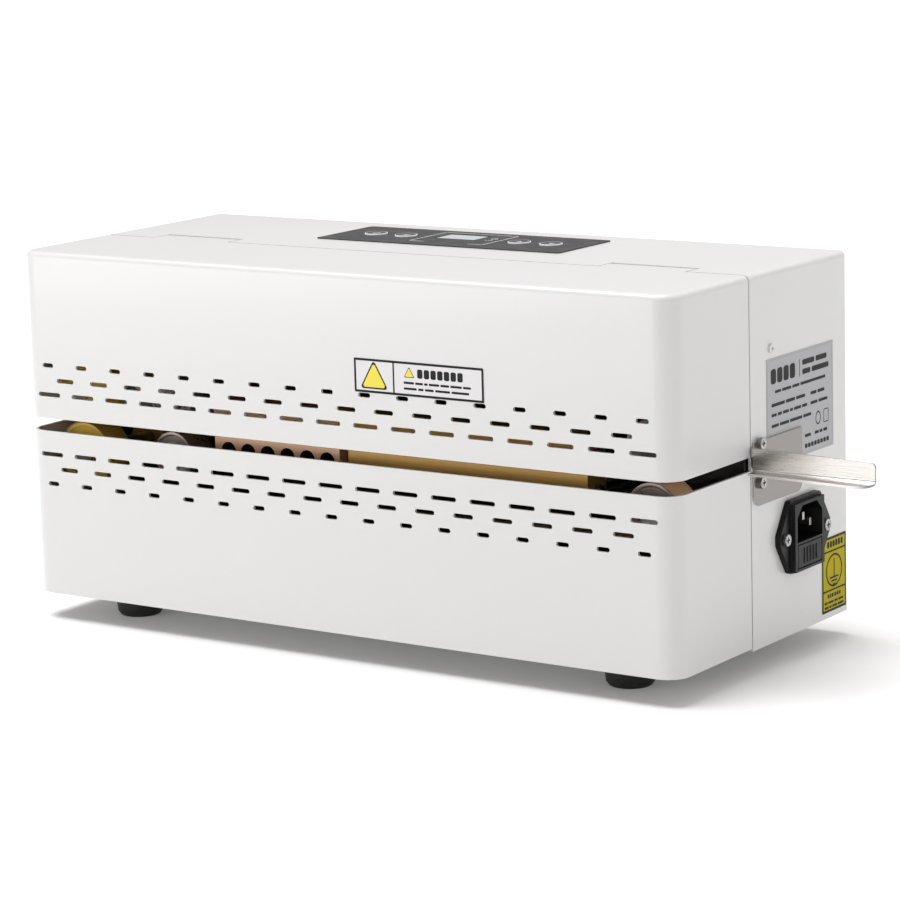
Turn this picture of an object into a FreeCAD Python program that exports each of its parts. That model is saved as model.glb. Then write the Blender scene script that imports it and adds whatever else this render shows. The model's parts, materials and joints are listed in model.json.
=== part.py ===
import FreeCAD, Part
import Sketcher
import math
import os
from fcgear import fcgear, involute

# Tabletop continuous band sealer, in millimetres. A bag goes in at the right, its mouth is
# carried between two belts past heated and cooled blocks, and it leaves at the left.
# Sub-parts are drawn in the case's own frame: x = 0 at the middle of the case, y = 0 at its
# front face, z = 0 at its bottom edge. Each sub-part's Placement then puts the case on its
# feet, with the origin at the bottom centre of the whole machine.

SIZES = {
    # case
    "case_width": 390, "case_depth": 167, "case_height": 179, "wall": 1.5,
    "front_end": 69.4, "rear_start": 70.2, "rear_drop": 1.5,
    "front_corner": 11, "rear_corner": 3, "edge_bend": 3,
    "gap_low": 86, "gap_high": 92.8,
    # hinge of the upper front cover
    "tab_middle": 137, "tab_width": 48, "hinge_back": 79.6, "knuckle": 2.4, "hinge_pin": 0.8,
    "hinge_lug": 5, "hinge_gap": 0.6, "running": 0.05,
    # vents
    "vent_pitch": 22.3, "vent_height": 2.3, "long_vent": 14.6, "middle_vent": 11.3, "short_vent": 7.1,
    "upper_long": 105.2, "upper_middle": 112.8, "upper_short": 120.5,
    "lower_long": 73.9, "lower_middle": 66.3, "lower_short": 58.4,
    # feet
    "foot_height": 13.8, "foot_top": 13.4, "foot_base": 11.8, "foot_edge": 2.2,
    "foot_out": 150.3, "foot_in": 31.5,
    # sealing path
    "seal_line": 89.4, "belt": 0.3, "belt_front": 15.2, "belt_width": 16, "clearance": 0.3, "half_seal": 0.05,
    "drive_run": 17.4, "drive_at": -168.7, "press_run": 12.9, "press_at": -110.3,
    "infeed_run": 14.8, "infeed_at": 173.9, "shaft": 4, "wheel_dish": 0.6,
    "heater_start": 0.4, "heater_length": 138.6, "block_height": 18,
    "cooler_start": -82.6, "cooler_length": 77.8, "cooler_hole": 4.5, "cooler_first": -74,
    "cooler_pitch": 12.3, "cooler_hole_drop": 7.2,
    "cartridge": 3.2, "cartridge_length": 110, "cartridge_stub": 3, "probe": 1.5, "probe_length": 20,
    "block_post": 3, "post_inset": 12, "post_drop": 3.4,
    # mounting plate and what it carries
    "plate_front": 68, "plate": 3, "plate_half": 192.6, "plate_top": 176,
    "gear_module": 1.19, "gear_front": 76, "gear_width": 6, "fan_size": 60, "fan_depth": 15,
    # top panel
    "panel_middle": -3.2, "panel_width": 149.3, "panel_front": 99, "panel_depth": 49.7, "film": 0.5,
    "key_row": 124, "key": 6, "key_proud": 0.6, "inner_key": 35, "outer_key": 54, "key_travel": 0.5,
    "screen_middle": -7, "screen_row": 130, "screen_width": 24, "screen_depth": 15,
    # bag guide
    "guide_reach": 66.3, "guide": 1.2, "guide_bend": 1.5, "guide_low": 68.5, "guide_top": 99.5,
    "guide_end": 118, "web_low": 85.5, "web_root": 97.6, "web_tip": 95.9, "web_corner": 2, "plate_corner": 5,
    "lip_root": 6, "lip_tip": 10.5, "lip_corner": 6,
    "guide_screw_row": 77, "guide_screw_low": 79.5, "guide_screw_high": 98.4,
    # power inlet
    "inlet_row": 117.5, "inlet_z": 47.7, "inlet_screws": 40, "flange": 3, "inlet_proud": 5.4,
    "flange_half": 15, "flange_high": 18, "flange_tip": 25, "tip_half": 2.5,
    "frame_half": 14.6, "frame_low": 17.3, "frame_high": 16.3,
    "body_half": 13.6, "body_low": 17, "body_high": 16.6, "body_depth": 27, "body_room": 0.4,
    "socket_half": 12.4, "socket_low": 2.8, "socket_high": 14.8, "socket_corner": 5.2, "socket_depth": 20,
    "bay_half": 12.1, "bay_low": 15.9, "bay_high": 3.9, "drawer_room": 0.4,
    "label": 0.2,
    # screws in the side walls
    "large_head": 2.3, "small_head": 2.9, "stem_share": 0.5, "dome": 1, "small_dome": 1.6,
    "guide_dome": 2, "side_screw_row": 90, "side_screw_height": 141.7,
}


class Size:
    """A number with its formula on the sheet, so that a feature is drawn and bound at once."""

    def __init__(self, value, formula):
        self.value = float(value)
        self.formula = formula

    def joined(self, sign, other, value):
        other = other.formula if isinstance(other, Size) else repr(other)
        return Size(value, f"({self.formula} {sign} {other})")

    def __add__(self, other):
        return self.joined("+", other, self.value + number(other))

    def __sub__(self, other):
        return self.joined("-", other, self.value - number(other))

    def __mul__(self, other):
        return self.joined("*", other, self.value * number(other))

    def __truediv__(self, other):
        return self.joined("/", other, self.value / number(other))

    def __neg__(self):
        return self * -1

    def __rsub__(self, other):
        return -self + other

    __radd__ = __add__
    __rmul__ = __mul__


def number(size):
    return size.value if isinstance(size, Size) else float(size)


def make_sheet():
    sheet = doc.addObject("Spreadsheet::Sheet", "Sizes")
    for row, (alias, amount) in enumerate(SIZES.items(), start=1):
        sheet.set(f"A{row}", alias)
        sheet.set(f"B{row}", str(amount))
        sheet.setAlias(f"B{row}", alias)
    doc.recompute()
    return {alias: Size(amount, f"Sizes.{alias}") for alias, amount in SIZES.items()}


doc = FreeCAD.newDocument("band_sealer")
S = make_sheet()
AXES = {"x": FreeCAD.Vector(1, 0, 0), "y": FreeCAD.Vector(0, 1, 0), "z": FreeCAD.Vector(0, 0, 1)}
SIDES = (-1, 1)
LEVELS = {"lower": -1, "upper": 1}
sub_parts = []


# ---------------------------------------------------------------- helpers

def bind(item, **properties):
    """Set properties, binding those that are Sizes to the sheet."""
    for name, size in properties.items():
        path = name.replace("__", ".")
        if isinstance(size, Size):
            item.setExpression(path, size.formula)
        else:
            target = item
            steps = path.split(".")
            for step in steps[:-1]:
                target = getattr(target, step)
            setattr(target, steps[-1], size)


def move(item, place):
    bind(item, Placement__Base__x=place[0], Placement__Base__y=place[1], Placement__Base__z=place[2])


def box(name, low, high):
    item = doc.addObject("Part::Box", name)
    bind(item, Length=high[0] - low[0], Width=high[1] - low[1], Height=high[2] - low[2])
    move(item, low)
    return item


def rod(name, start, radius, length, axis="y", end_radius=None):
    """A cylinder, or a cone with an end radius, that runs from start along an axis."""
    item = doc.addObject("Part::Cylinder" if end_radius is None else "Part::Cone", name)
    if end_radius is None:
        bind(item, Radius=radius, Height=length)
    else:
        bind(item, Radius1=radius, Radius2=end_radius, Height=length)
    item.Placement.Rotation = FreeCAD.Rotation(AXES["z"], AXES[axis])
    move(item, start)
    return item


def fuse(name, parts):
    item = doc.addObject("Part::MultiFuse", name)
    item.Shapes = parts
    return item


def cut(name, base, tools):
    item = doc.addObject("Part::Cut", name)
    item.Base = base
    item.Tool = tools[0] if len(tools) == 1 else fuse(name + "_tools", tools)
    return item


def common(name, parts):
    item = doc.addObject("Part::MultiCommon", name)
    item.Shapes = parts
    return item


def folded(name, centre, length, axis, low, high):
    """A quarter turn of the guide's sheet about a line through centre, kept between low and high."""
    inner, outer = S["guide_bend"], S["guide_bend"] + S["guide"]
    ring = cut(name + "_ring", rod(name + "_outer", centre, outer, length, axis),
               [rod(name + "_inner", centre, inner, length, axis)])
    return common(name, [ring, box(name + "_room", low, high)])


def group(name, parts):
    item = doc.addObject("Part::Compound", name)
    item.Links = parts
    return item


def sub_part(item, label):
    """Name a finished sub-part and stand it in the machine's frame."""
    if item.TypeId in ("Part::Box", "Part::Cylinder"):
        item = group(item.Name + "_set", [item])
    item.Label = label
    move(item, (-(S["guide_reach"] - S["dome"]) / 2, -(S["case_depth"] - S["label"]) / 2, S["foot_height"]))
    sub_parts.append(item)
    return item


def new_body(name):
    return doc.addObject("PartDesign::Body", name)


def new_sketch(body, name, plane, height=0):
    """A sketch on one of the body's own origin planes, moved along the plane's normal."""
    sketch = body.newObject("Sketcher::SketchObject", name)
    support = next(f for f in body.Origin.OriginFeatures if f.Role == plane)
    sketch.AttachmentSupport = [(support, "")]
    sketch.MapMode = "FlatFace"
    bind(sketch, AttachmentOffset__Base__z=height)
    return sketch


def fix_point(sketch, geometry, end, x, y):
    """Hold one end of a line or an arc, or a centre, at (x, y) from the sketch's origin."""
    for kind, axis, size in (("DistanceX", -2, x), ("DistanceY", -1, y)):
        if number(size) == 0:
            sketch.addConstraint(Sketcher.Constraint("PointOnObject", geometry, end, axis))
            continue
        datum = Sketcher.Constraint(kind, -1, 1, geometry, end, number(size))
        index = sketch.addConstraint(datum)
        if isinstance(size, Size):
            sketch.setExpression(f"Constraints[{index}]", size.formula)


def polygon(sketch, points):
    """A closed outline of straight lines, with every corner held from the origin."""
    flat = [FreeCAD.Vector(number(x), number(y), 0) for x, y in points]
    first = sketch.GeometryCount
    for here, there in zip(flat, flat[1:] + flat[:1]):
        sketch.addGeometry(Part.LineSegment(here, there), False)
    for index, (x, y) in enumerate(points):
        before = first + (index - 1) % len(points)
        sketch.addConstraint(Sketcher.Constraint("Coincident", before, 2, first + index, 1))
        fix_point(sketch, first + index, 1, x, y)


def rectangle(sketch, low, high):
    polygon(sketch, [low, (high[0], low[1]), high, (low[0], high[1])])


def circle(sketch, x, y, radius):
    centre = FreeCAD.Vector(number(x), number(y), 0)
    index = sketch.addGeometry(Part.Circle(centre, AXES["z"], number(radius)), False)
    fix_point(sketch, index, 3, x, y)
    datum = sketch.addConstraint(Sketcher.Constraint("Radius", index, number(radius)))
    if isinstance(radius, Size):
        sketch.setExpression(f"Constraints[{datum}]", radius.formula)


def bay(sketch, low, high, radius):
    """A rectangle whose two corners on its low y side are round."""
    (x1, y1), (x2, y2) = low, high
    left, right, front = number(x1 + radius), number(x2 - radius), number(y1 + radius)
    corners = [(left, y1), (right, y1), (x2, front), (x2, y2), (x1, y2), (x1, front)]
    points = [FreeCAD.Vector(number(x), number(y), 0) for x, y in corners]

    def arc(x, start):
        whole = Part.Circle(FreeCAD.Vector(x, front, 0), AXES["z"], number(radius))
        return Part.ArcOfCircle(whole, start, start + math.pi / 2)
    line = Part.LineSegment
    sketch.addGeometry([line(points[0], points[1]), arc(right, -math.pi / 2), line(points[2], points[3]),
                        line(points[3], points[4]), line(points[4], points[5]), arc(left, math.pi)], False)
    for before, after in ((0, 1), (1, 2), (4, 5), (5, 0)):
        sketch.addConstraint(Sketcher.Constraint("Tangent", before, 2, after, 1))
    sketch.addConstraint(Sketcher.Constraint("Coincident", 2, 2, 3, 1))
    sketch.addConstraint(Sketcher.Constraint("Coincident", 3, 2, 4, 1))
    sketch.addConstraint([Sketcher.Constraint("Horizontal", 0), Sketcher.Constraint("Vertical", 2),
                          Sketcher.Constraint("Vertical", 4)])
    fix_point(sketch, 2, 2, x2, y2)
    fix_point(sketch, 4, 1, x1, y2)
    for index in (1, 5):
        datum = sketch.addConstraint(Sketcher.Constraint("Radius", index, number(radius)))
        sketch.setExpression(f"Constraints[{datum}]", radius.formula)
    if number(y1) == 0:
        sketch.addConstraint(Sketcher.Constraint("PointOnObject", 0, 1, -1))
    else:
        datum = sketch.addConstraint(Sketcher.Constraint("DistanceY", -1, 1, 0, 1, number(y1)))
        sketch.setExpression(f"Constraints[{datum}]", y1.formula)


def slot(sketch, x, y, length, height):
    """A round-ended slot, centred on (x, y) and lying along the sketch's x axis."""
    half, radius = (length - height) / 2, height / 2
    for side in SIDES:
        centre = FreeCAD.Vector(number(x + half * side), number(y), 0)
        whole = Part.Circle(centre, AXES["z"], number(radius))
        start = math.pi / 2 if side < 0 else -math.pi / 2
        sketch.addGeometry(Part.ArcOfCircle(whole, start, start + math.pi), False)
    for side in SIDES:
        ends = [FreeCAD.Vector(number(x + half * way), number(y + radius * side), 0) for way in SIDES]
        sketch.addGeometry(Part.LineSegment(*ends), False)
    for arc, line, arc_end, line_end in ((0, 2, 2, 1), (1, 2, 1, 2), (0, 3, 1, 1), (1, 3, 2, 2)):
        sketch.addConstraint(Sketcher.Constraint("Tangent", arc, arc_end, line, line_end))
    fix_point(sketch, 0, 3, x - half, y)
    fix_point(sketch, 1, 3, x + half, y)
    datum = sketch.addConstraint(Sketcher.Constraint("Radius", 0, number(radius)))
    sketch.setExpression(f"Constraints[{datum}]", radius.formula)


def pad(body, name, sketch, length, backwards=False):
    item = body.newObject("PartDesign::Pad", name)
    item.Profile = sketch
    bind(item, Length=length)
    item.Reversed = backwards
    return item


def pocket(body, name, sketch, depth, backwards=False):
    """Cut a sketch out of the body, and stop if it cuts nothing."""
    doc.recompute()
    before = body.Shape.Volume
    item = body.newObject("PartDesign::Pocket", name)
    item.Profile = sketch
    bind(item, Length=depth)
    item.Reversed = backwards
    doc.recompute()
    if not item.Shape.Volume < before:
        raise RuntimeError(f"{name} cuts nothing")
    return item


def round_edges(body, name, base, radius, wanted):
    """Fillet the straight edges for which wanted(middle, direction) is true."""
    doc.recompute()
    names = []
    for index, edge in enumerate(base.Shape.Edges, start=1):
        start, end = edge.firstVertex().Point, edge.lastVertex().Point
        if (end - start).Length > 0 and wanted((start + end) / 2, (end - start).normalize()):
            names.append(f"Edge{index}")
    item = body.newObject("PartDesign::Fillet", name)
    item.Base = (base, names)
    bind(item, Radius=radius)
    doc.recompute()
    return item


def revolved(name, points, place):
    """A body turned about an axis along y at place, from (radius, y) corners."""
    body = new_body(name)
    sketch = new_sketch(body, name + "_profile", "XY_Plane")
    polygon(sketch, points)
    turn = body.newObject("PartDesign::Revolution", name + "_turn")
    turn.Profile = sketch
    turn.ReferenceAxis = (sketch, ["V_Axis"])
    turn.Angle = 360
    body.Tip = turn
    carrier = group(name + "_set", [body])
    move(body, place)
    return carrier


# ---------------------------------------------------------------- places worked out from the sizes

HALF = S["case_width"] / 2
BELT_BACK = S["belt_front"] + S["belt_width"]
PLATE_BACK = S["plate_front"] + S["plate"]
HINGE_Z = S["case_height"] - S["knuckle"]
FILM_TOP = S["case_height"] + S["film"]
KEYS = {
    "left_outer": -S["outer_key"], "left_inner": -S["inner_key"],
    "right_inner": S["inner_key"], "right_outer": S["outer_key"],
}
WHEELS = {
    "drive": (S["drive_at"], S["drive_run"]),
    "press": (S["press_at"], S["press_run"]),
    "infeed": (S["infeed_at"], S["infeed_run"]),
}


def axle_height(kind, level):
    """Height of a wheel's axis: its belt runs along the sealing line."""
    return S["seal_line"] + WHEELS[kind][1] * LEVELS[level]


# ---------------------------------------------------------------- case

def vents(body, face, rows, depth):
    """Rows of slots through a wall, each row centred on the case; face is the sketch plane's height."""
    for name, height, length, count in rows:
        sketch = new_sketch(body, name, "XZ_Plane", face)
        slot(sketch, S["vent_pitch"] * -((count - 1) / 2), height, length, S["vent_height"])
        opening = pocket(body, name + "_opening", sketch, depth)
        pattern = body.newObject("PartDesign::LinearPattern", name + "_row")
        pattern.Originals = [opening]
        pattern.Direction = (sketch, ["H_Axis"])
        bind(pattern, Length=S["vent_pitch"] * (count - 1))
        pattern.Occurrences = count
        body.Tip = pattern
        doc.recompute()


def cover_shell(body, low, high, closed):
    """A front cover's sheet: a front and two sides with round corners, and a top if it is closed."""
    name = body.Name
    outline = new_sketch(body, name + "_outline", "XY_Plane", low)
    bay(outline, (-HALF, 0), (HALF, S["front_end"]), S["front_corner"])
    block = pad(body, name + "_block", outline, high - low)
    if closed:
        round_edges(
            body, name + "_bend", block, S["edge_bend"],
            lambda middle, way: middle.z > number(high) - 0.1 and middle.y < number(S["front_end"]) - 0.1,
        )
    inside = new_sketch(body, name + "_inside", "XY_Plane", low - 1)
    bay(inside, (-HALF + S["wall"], S["wall"]), (HALF - S["wall"], S["front_end"] + 1),
        S["front_corner"] - S["wall"])
    depth = high - low + 1 - (S["wall"] if closed else -1)
    return pocket(body, name + "_hollow", inside, depth, backwards=True)


def lower_front_cover():
    body = new_body("lower_cover")
    cover_shell(body, Size(0, "0"), S["gap_low"], closed=False)
    vents(body, 0, [
        ("lower_long_vent", S["lower_long"], S["long_vent"], 17),
        ("lower_middle_vent", S["lower_middle"], S["middle_vent"], 16),
        ("lower_short_vent", S["lower_short"], S["short_vent"], 17),
    ], S["wall"] * 2)
    sub_part(group("lower_cover_set", [body]), "lower_front_cover")


def tabs():
    """Each hinge tab's side, middle and name."""
    return [(side, S["tab_middle"] * side, "left_hinge" if side < 0 else "right_hinge") for side in SIDES]


def upper_front_cover():
    body = new_body("upper_cover")
    cover_shell(body, S["gap_high"], S["case_height"], closed=True)
    vents(body, 0, [
        ("upper_long_vent", S["upper_long"], S["long_vent"], 17),
        ("upper_middle_vent", S["upper_middle"], S["middle_vent"], 16),
        ("upper_short_vent", S["upper_short"], S["short_vent"], 17),
    ], S["wall"] * 2)
    parts, bores = [body], []
    for _, middle, name in tabs():
        half = S["tab_width"] / 2
        parts.append(box(name + "_tab", (middle - half, S["front_end"] - 1, S["case_height"] - S["wall"]),
                         (middle + half, S["hinge_back"], S["case_height"])))
        start = (middle - half, S["hinge_back"], HINGE_Z)
        parts.append(rod(name + "_knuckle", start, S["knuckle"], S["tab_width"], "x"))
        bores.append(rod(name + "_bore", start, S["hinge_pin"] + S["running"], S["tab_width"], "x"))
    sub_part(cut("upper_cover_set", fuse("upper_cover_blank", parts), bores), "upper_front_cover")


def hinge():
    """A bracket with two lugs under the rear housing's top at each tab, and its pin."""
    brackets, pins = [], []
    for _, middle, name in tabs():
        lug_in = S["tab_width"] / 2 + S["hinge_gap"]
        lug_out = lug_in + S["hinge_lug"]
        under, front, back = S["case_height"] - S["wall"], S["hinge_back"] - 3, S["hinge_back"] + 3
        pieces = [box(name + "_strip", (middle - lug_out, front, under - 7.5),
                      (middle + lug_out, back, under - 6))]
        for way in SIDES:
            low = middle + (lug_in if way > 0 else -lug_out)
            pieces.append(box(f"{name}_lug_{way + 1}", (low, front, under - 7.5),
                              (low + S["hinge_lug"], back, under)))
        start = (middle - lug_out, S["hinge_back"], HINGE_Z)
        bore = rod(name + "_lug_bore", start, S["hinge_pin"], lug_out * 2, "x")
        brackets.append(cut(name + "_bracket", fuse(name + "_bracket_blank", pieces), [bore]))
        pins.append(rod(name + "_pin", start, S["hinge_pin"], lug_out * 2, "x"))
    sub_part(group("hinge_bracket_set", brackets), "hinge_brackets")
    sub_part(group("hinge_pin_set", pins), "hinge_pins")


def rear_housing():
    body = new_body("rear")
    low, high = -S["rear_drop"], S["case_height"]
    outline = new_sketch(body, "rear_outline", "XY_Plane", low)
    rectangle(outline, (-HALF, S["rear_start"]), (HALF, S["case_depth"]))
    block = pad(body, "rear_block", outline, high - low)
    block = round_edges(body, "rear_corners", block, S["rear_corner"],
                        lambda middle, way: abs(way.z) > 0.9 and middle.y > number(S["case_depth"]) - 1)
    block = round_edges(
        body, "rear_bend", block, S["edge_bend"],
        lambda middle, way: middle.z > number(high) - 0.1 and middle.y > number(S["rear_start"]) + 0.1,
    )
    inside = new_sketch(body, "rear_inside", "XY_Plane", low - 1)
    rectangle(inside, (-HALF + S["wall"], S["rear_start"] - 1),
              (HALF - S["wall"], S["case_depth"] - S["wall"]))
    pocket(body, "rear_hollow", inside, high - low + 1 - S["wall"], backwards=True)
    openings = new_sketch(body, "top_openings", "XY_Plane", high)
    for _, middle, _ in tabs():
        half = S["tab_width"] / 2 + S["hinge_gap"]
        rectangle(openings, (middle - half, S["rear_start"] - 1),
                  (middle + half, S["hinge_back"] + S["knuckle"] + S["hinge_gap"]))
    for offset in KEYS.values():
        circle(openings, S["panel_middle"] + offset, S["key_row"], S["key"] + S["clearance"])
    half = S["screen_width"] / 2
    rectangle(openings, (S["screen_middle"] - half, S["screen_row"] - S["screen_depth"] / 2),
              (S["screen_middle"] + half, S["screen_row"] + S["screen_depth"] / 2))
    pocket(body, "top_opening", openings, S["wall"] * 2)
    inlet = new_sketch(body, "inlet_opening_outline", "YZ_Plane", HALF)
    room = S["body_room"]
    rectangle(inlet, (S["inlet_row"] - S["body_half"] - room, S["inlet_z"] - S["body_low"] - room),
              (S["inlet_row"] + S["body_half"] + room, S["inlet_z"] + S["body_high"] + room))
    pocket(body, "inlet_opening", inlet, S["wall"] * 2)
    vents(body, -S["case_depth"], [
        ("rear_low_vent", S["lower_short"], S["long_vent"], 9),
        ("rear_middle_vent", S["lower_middle"], S["long_vent"], 8),
        ("rear_high_vent", S["lower_long"], S["long_vent"], 9),
    ], S["wall"] * -2)
    sub_part(cut("rear_set", body, screw_holes()), "rear_housing")


def screw_holes():
    """Holes in the side walls for the stems of the housing, guide and inlet screws."""
    wide = S["large_head"] * S["stem_share"] + S["running"]
    narrow = S["small_head"] * S["stem_share"] + S["running"]
    places = [(HALF * side, S["side_screw_row"], S["side_screw_height"], wide) for side in SIDES]
    places += [(HALF, S["guide_screw_row"], height, narrow)
               for height in (S["guide_screw_low"], S["guide_screw_high"])]
    places += [(HALF, S["inlet_row"] + S["inlet_screws"] / 2 * side, S["inlet_z"], narrow) for side in SIDES]
    return [rod(f"wall_hole_{index}", (x - S["wall"] * 2, y, z), radius, S["wall"] * 4, "x")
            for index, (x, y, z, radius) in enumerate(places)]


def base_plate():
    low = (-HALF + S["wall"] + 0.4, S["wall"] + 0.4, 0)
    high = (HALF - S["wall"] - 0.4, S["case_depth"] - S["wall"] - 0.4, S["wall"])
    plate = box("base_blank", low, high)
    corners = [box(f"base_corner_{side + 1}", (low[0] if side < 0 else high[0] - 10, low[1], 0),
                   (low[0] + 10 if side < 0 else high[0], low[1] + 10, S["wall"])) for side in SIDES]
    rounds = [rod(f"base_round_{side + 1}", (low[0] + 10 if side < 0 else high[0] - 10, low[1] + 10, 0),
                  10, S["wall"], "z") for side in SIDES]
    holes = [rod(f"foot_hole_{index}", (x, y, 0), 2.1, S["wall"], "z")
             for index, (x, y) in enumerate(foot_places())]
    base = cut("base_set", plate, [cut("base_corners", fuse("base_corner_blocks", corners), rounds)] + holes)
    sub_part(base, "base_plate")


def foot_places():
    rows = (S["foot_in"], S["case_depth"] - S["foot_in"])
    return [(S["foot_out"] * side, row) for side in SIDES for row in rows]


def feet():
    """Tapered rubber feet, each with a counterbore for its screw."""
    blocks, screws = [], []
    for index, (x, y) in enumerate(foot_places()):
        foot = rod(f"foot_{index}", (x, y, -S["foot_height"] + S["foot_edge"]), S["foot_base"],
                   S["foot_height"] - S["foot_edge"], "z", end_radius=S["foot_top"])
        edge = rod(f"foot_edge_{index}", (x, y, -S["foot_height"]), S["foot_base"] - S["foot_edge"] * 0.7,
                   S["foot_edge"], "z", end_radius=S["foot_base"])
        well = rod(f"foot_well_{index}", (x, y, -S["foot_height"]), 4.6, 7, "z")
        hole = rod(f"foot_bore_{index}", (x, y, -S["foot_height"]), 2.1, S["foot_height"], "z")
        blocks.append(cut(f"foot_set_{index}", fuse(f"foot_blank_{index}", [foot, edge]), [well, hole]))
        head = rod(f"foot_screw_head_{index}", (x, y, -S["foot_height"] + 4.6), 3.8, 2.4, "z")
        shank = rod(f"foot_screw_shank_{index}", (x, y, -S["foot_height"] + 6), 2, S["foot_height"], "z")
        screws.append(fuse(f"foot_screw_{index}", [head, shank]))
    sub_part(group("feet_set", blocks), "rubber_feet")
    sub_part(group("foot_screw_set", screws), "foot_screws")


def button_screw(name, start, radius, height, direction, shank):
    """A domed-head screw standing out of a side wall along +x or -x, with a cross recess."""
    x, y, z = start
    face = x if direction > 0 else x - height
    head = rod(name + "_head", (face, y, z), radius, height, "x")
    inner = x - shank if direction > 0 else x
    stem = rod(name + "_stem", (inner, y, z), radius * S["stem_share"], shank, "x")
    depth = height * 0.55
    cut_low = x + height - depth if direction > 0 else x - height
    arm, half = radius * 0.52, radius * 0.13
    across = [box(f"{name}_recess_{way}", (cut_low, y - wide, z - tall),
                  (cut_low + depth, y + wide, z + tall))
              for way, wide, tall in (("level", arm, half), ("upright", half, arm))]
    return cut(name, fuse(name + "_blank", [head, stem]), across)


def housing_screws():
    screws = [
        button_screw(f"side_screw_{side + 1}", (HALF * side, S["side_screw_row"], S["side_screw_height"]),
                     S["large_head"], S["dome"], side, 7) for side in SIDES
    ]
    sub_part(group("housing_screw_set", screws), "housing_screws")


def bag_guide():
    """A bent steel sheet: a plate on the case's side, a web standing out, and a lip folded forward."""
    t, bend = S["guide"], S["guide_bend"]
    back = S["front_end"]
    front = back - t
    plate_start = back + bend
    plate = box("guide_plate", (HALF, plate_start, S["guide_low"]),
                (HALF + t, S["guide_end"], S["guide_top"]))
    doc.recompute()
    rounded = doc.addObject("Part::Fillet", "guide_plate_rounded")
    rounded.Base = plate
    rounded.Edges = [
        (index, SIZES["plate_corner"], SIZES["plate_corner"])
        for index, edge in enumerate(plate.Shape.Edges, start=1)
        if abs(edge.tangentAt(edge.FirstParameter).x) > 0.9
        and edge.CenterOfMass.z < number(S["guide_low"]) + 1
    ]
    root, tip = HALF + t + bend, HALF + S["guide_reach"]
    low, fold_top, top = S["web_low"], S["web_low"] + t + bend, S["web_root"]
    corner = folded("guide_corner", (root, plate_start, fold_top), top - fold_top, "z",
                    (HALF, front, fold_top), (root, plate_start, top))
    fold = folded("guide_fold", (root, front - bend, fold_top), tip - root, "x",
                  (root, front - bend, low), (tip, back, fold_top))
    upright = box("guide_upright", (root, front, fold_top), (tip, back, top))
    flat = box("guide_flat", (root, front - bend - S["lip_tip"], low), (tip, front - bend, low + t))
    web = new_body("guide_web")
    side = new_sketch(web, "guide_web_side", "XZ_Plane", -back)
    polygon(side, [(root, low), (tip, low), (tip, S["web_tip"]), (root, top)])
    web_pad = pad(web, "guide_web_pad", side, t + bend + S["lip_tip"])
    round_edges(web, "guide_web_corner", web_pad, S["web_corner"],
                lambda middle, way: abs(way.y) > 0.9 and middle.x > number(tip) - 1
                and middle.z > number(S["web_tip"]) - 1)
    lip = new_body("guide_lip")
    plan = new_sketch(lip, "guide_lip_plan", "XY_Plane", low)
    polygon(plan, [(root, back), (root, front - S["lip_root"]), (tip, front - S["lip_tip"]), (tip, back)])
    lip_pad = pad(lip, "guide_lip_pad", plan, top - low)
    round_edges(lip, "guide_lip_corner", lip_pad, S["lip_corner"],
                lambda middle, way: abs(way.z) > 0.9 and middle.x > number(tip) - 1
                and middle.y < number(front) - 1)
    arm = common("guide_arm", [fuse("guide_sheet", [upright, fold, flat]), web, lip])
    blank = fuse("guide_blank", [rounded, corner, arm])
    holes = [rod(f"guide_hole_{index}", (HALF - 1, S["guide_screw_row"], height), 1.7, 4, "x")
             for index, height in enumerate((S["guide_screw_low"], S["guide_screw_high"]))]
    sub_part(cut("guide_set", blank, holes), "bag_guide")
    screws = [button_screw(f"guide_screw_{index}", (HALF + t, S["guide_screw_row"], height),
                           S["small_head"], S["guide_dome"], 1, 8)
              for index, height in enumerate((S["guide_screw_low"], S["guide_screw_high"]))]
    return screws


# ---------------------------------------------------------------- power inlet

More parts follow.
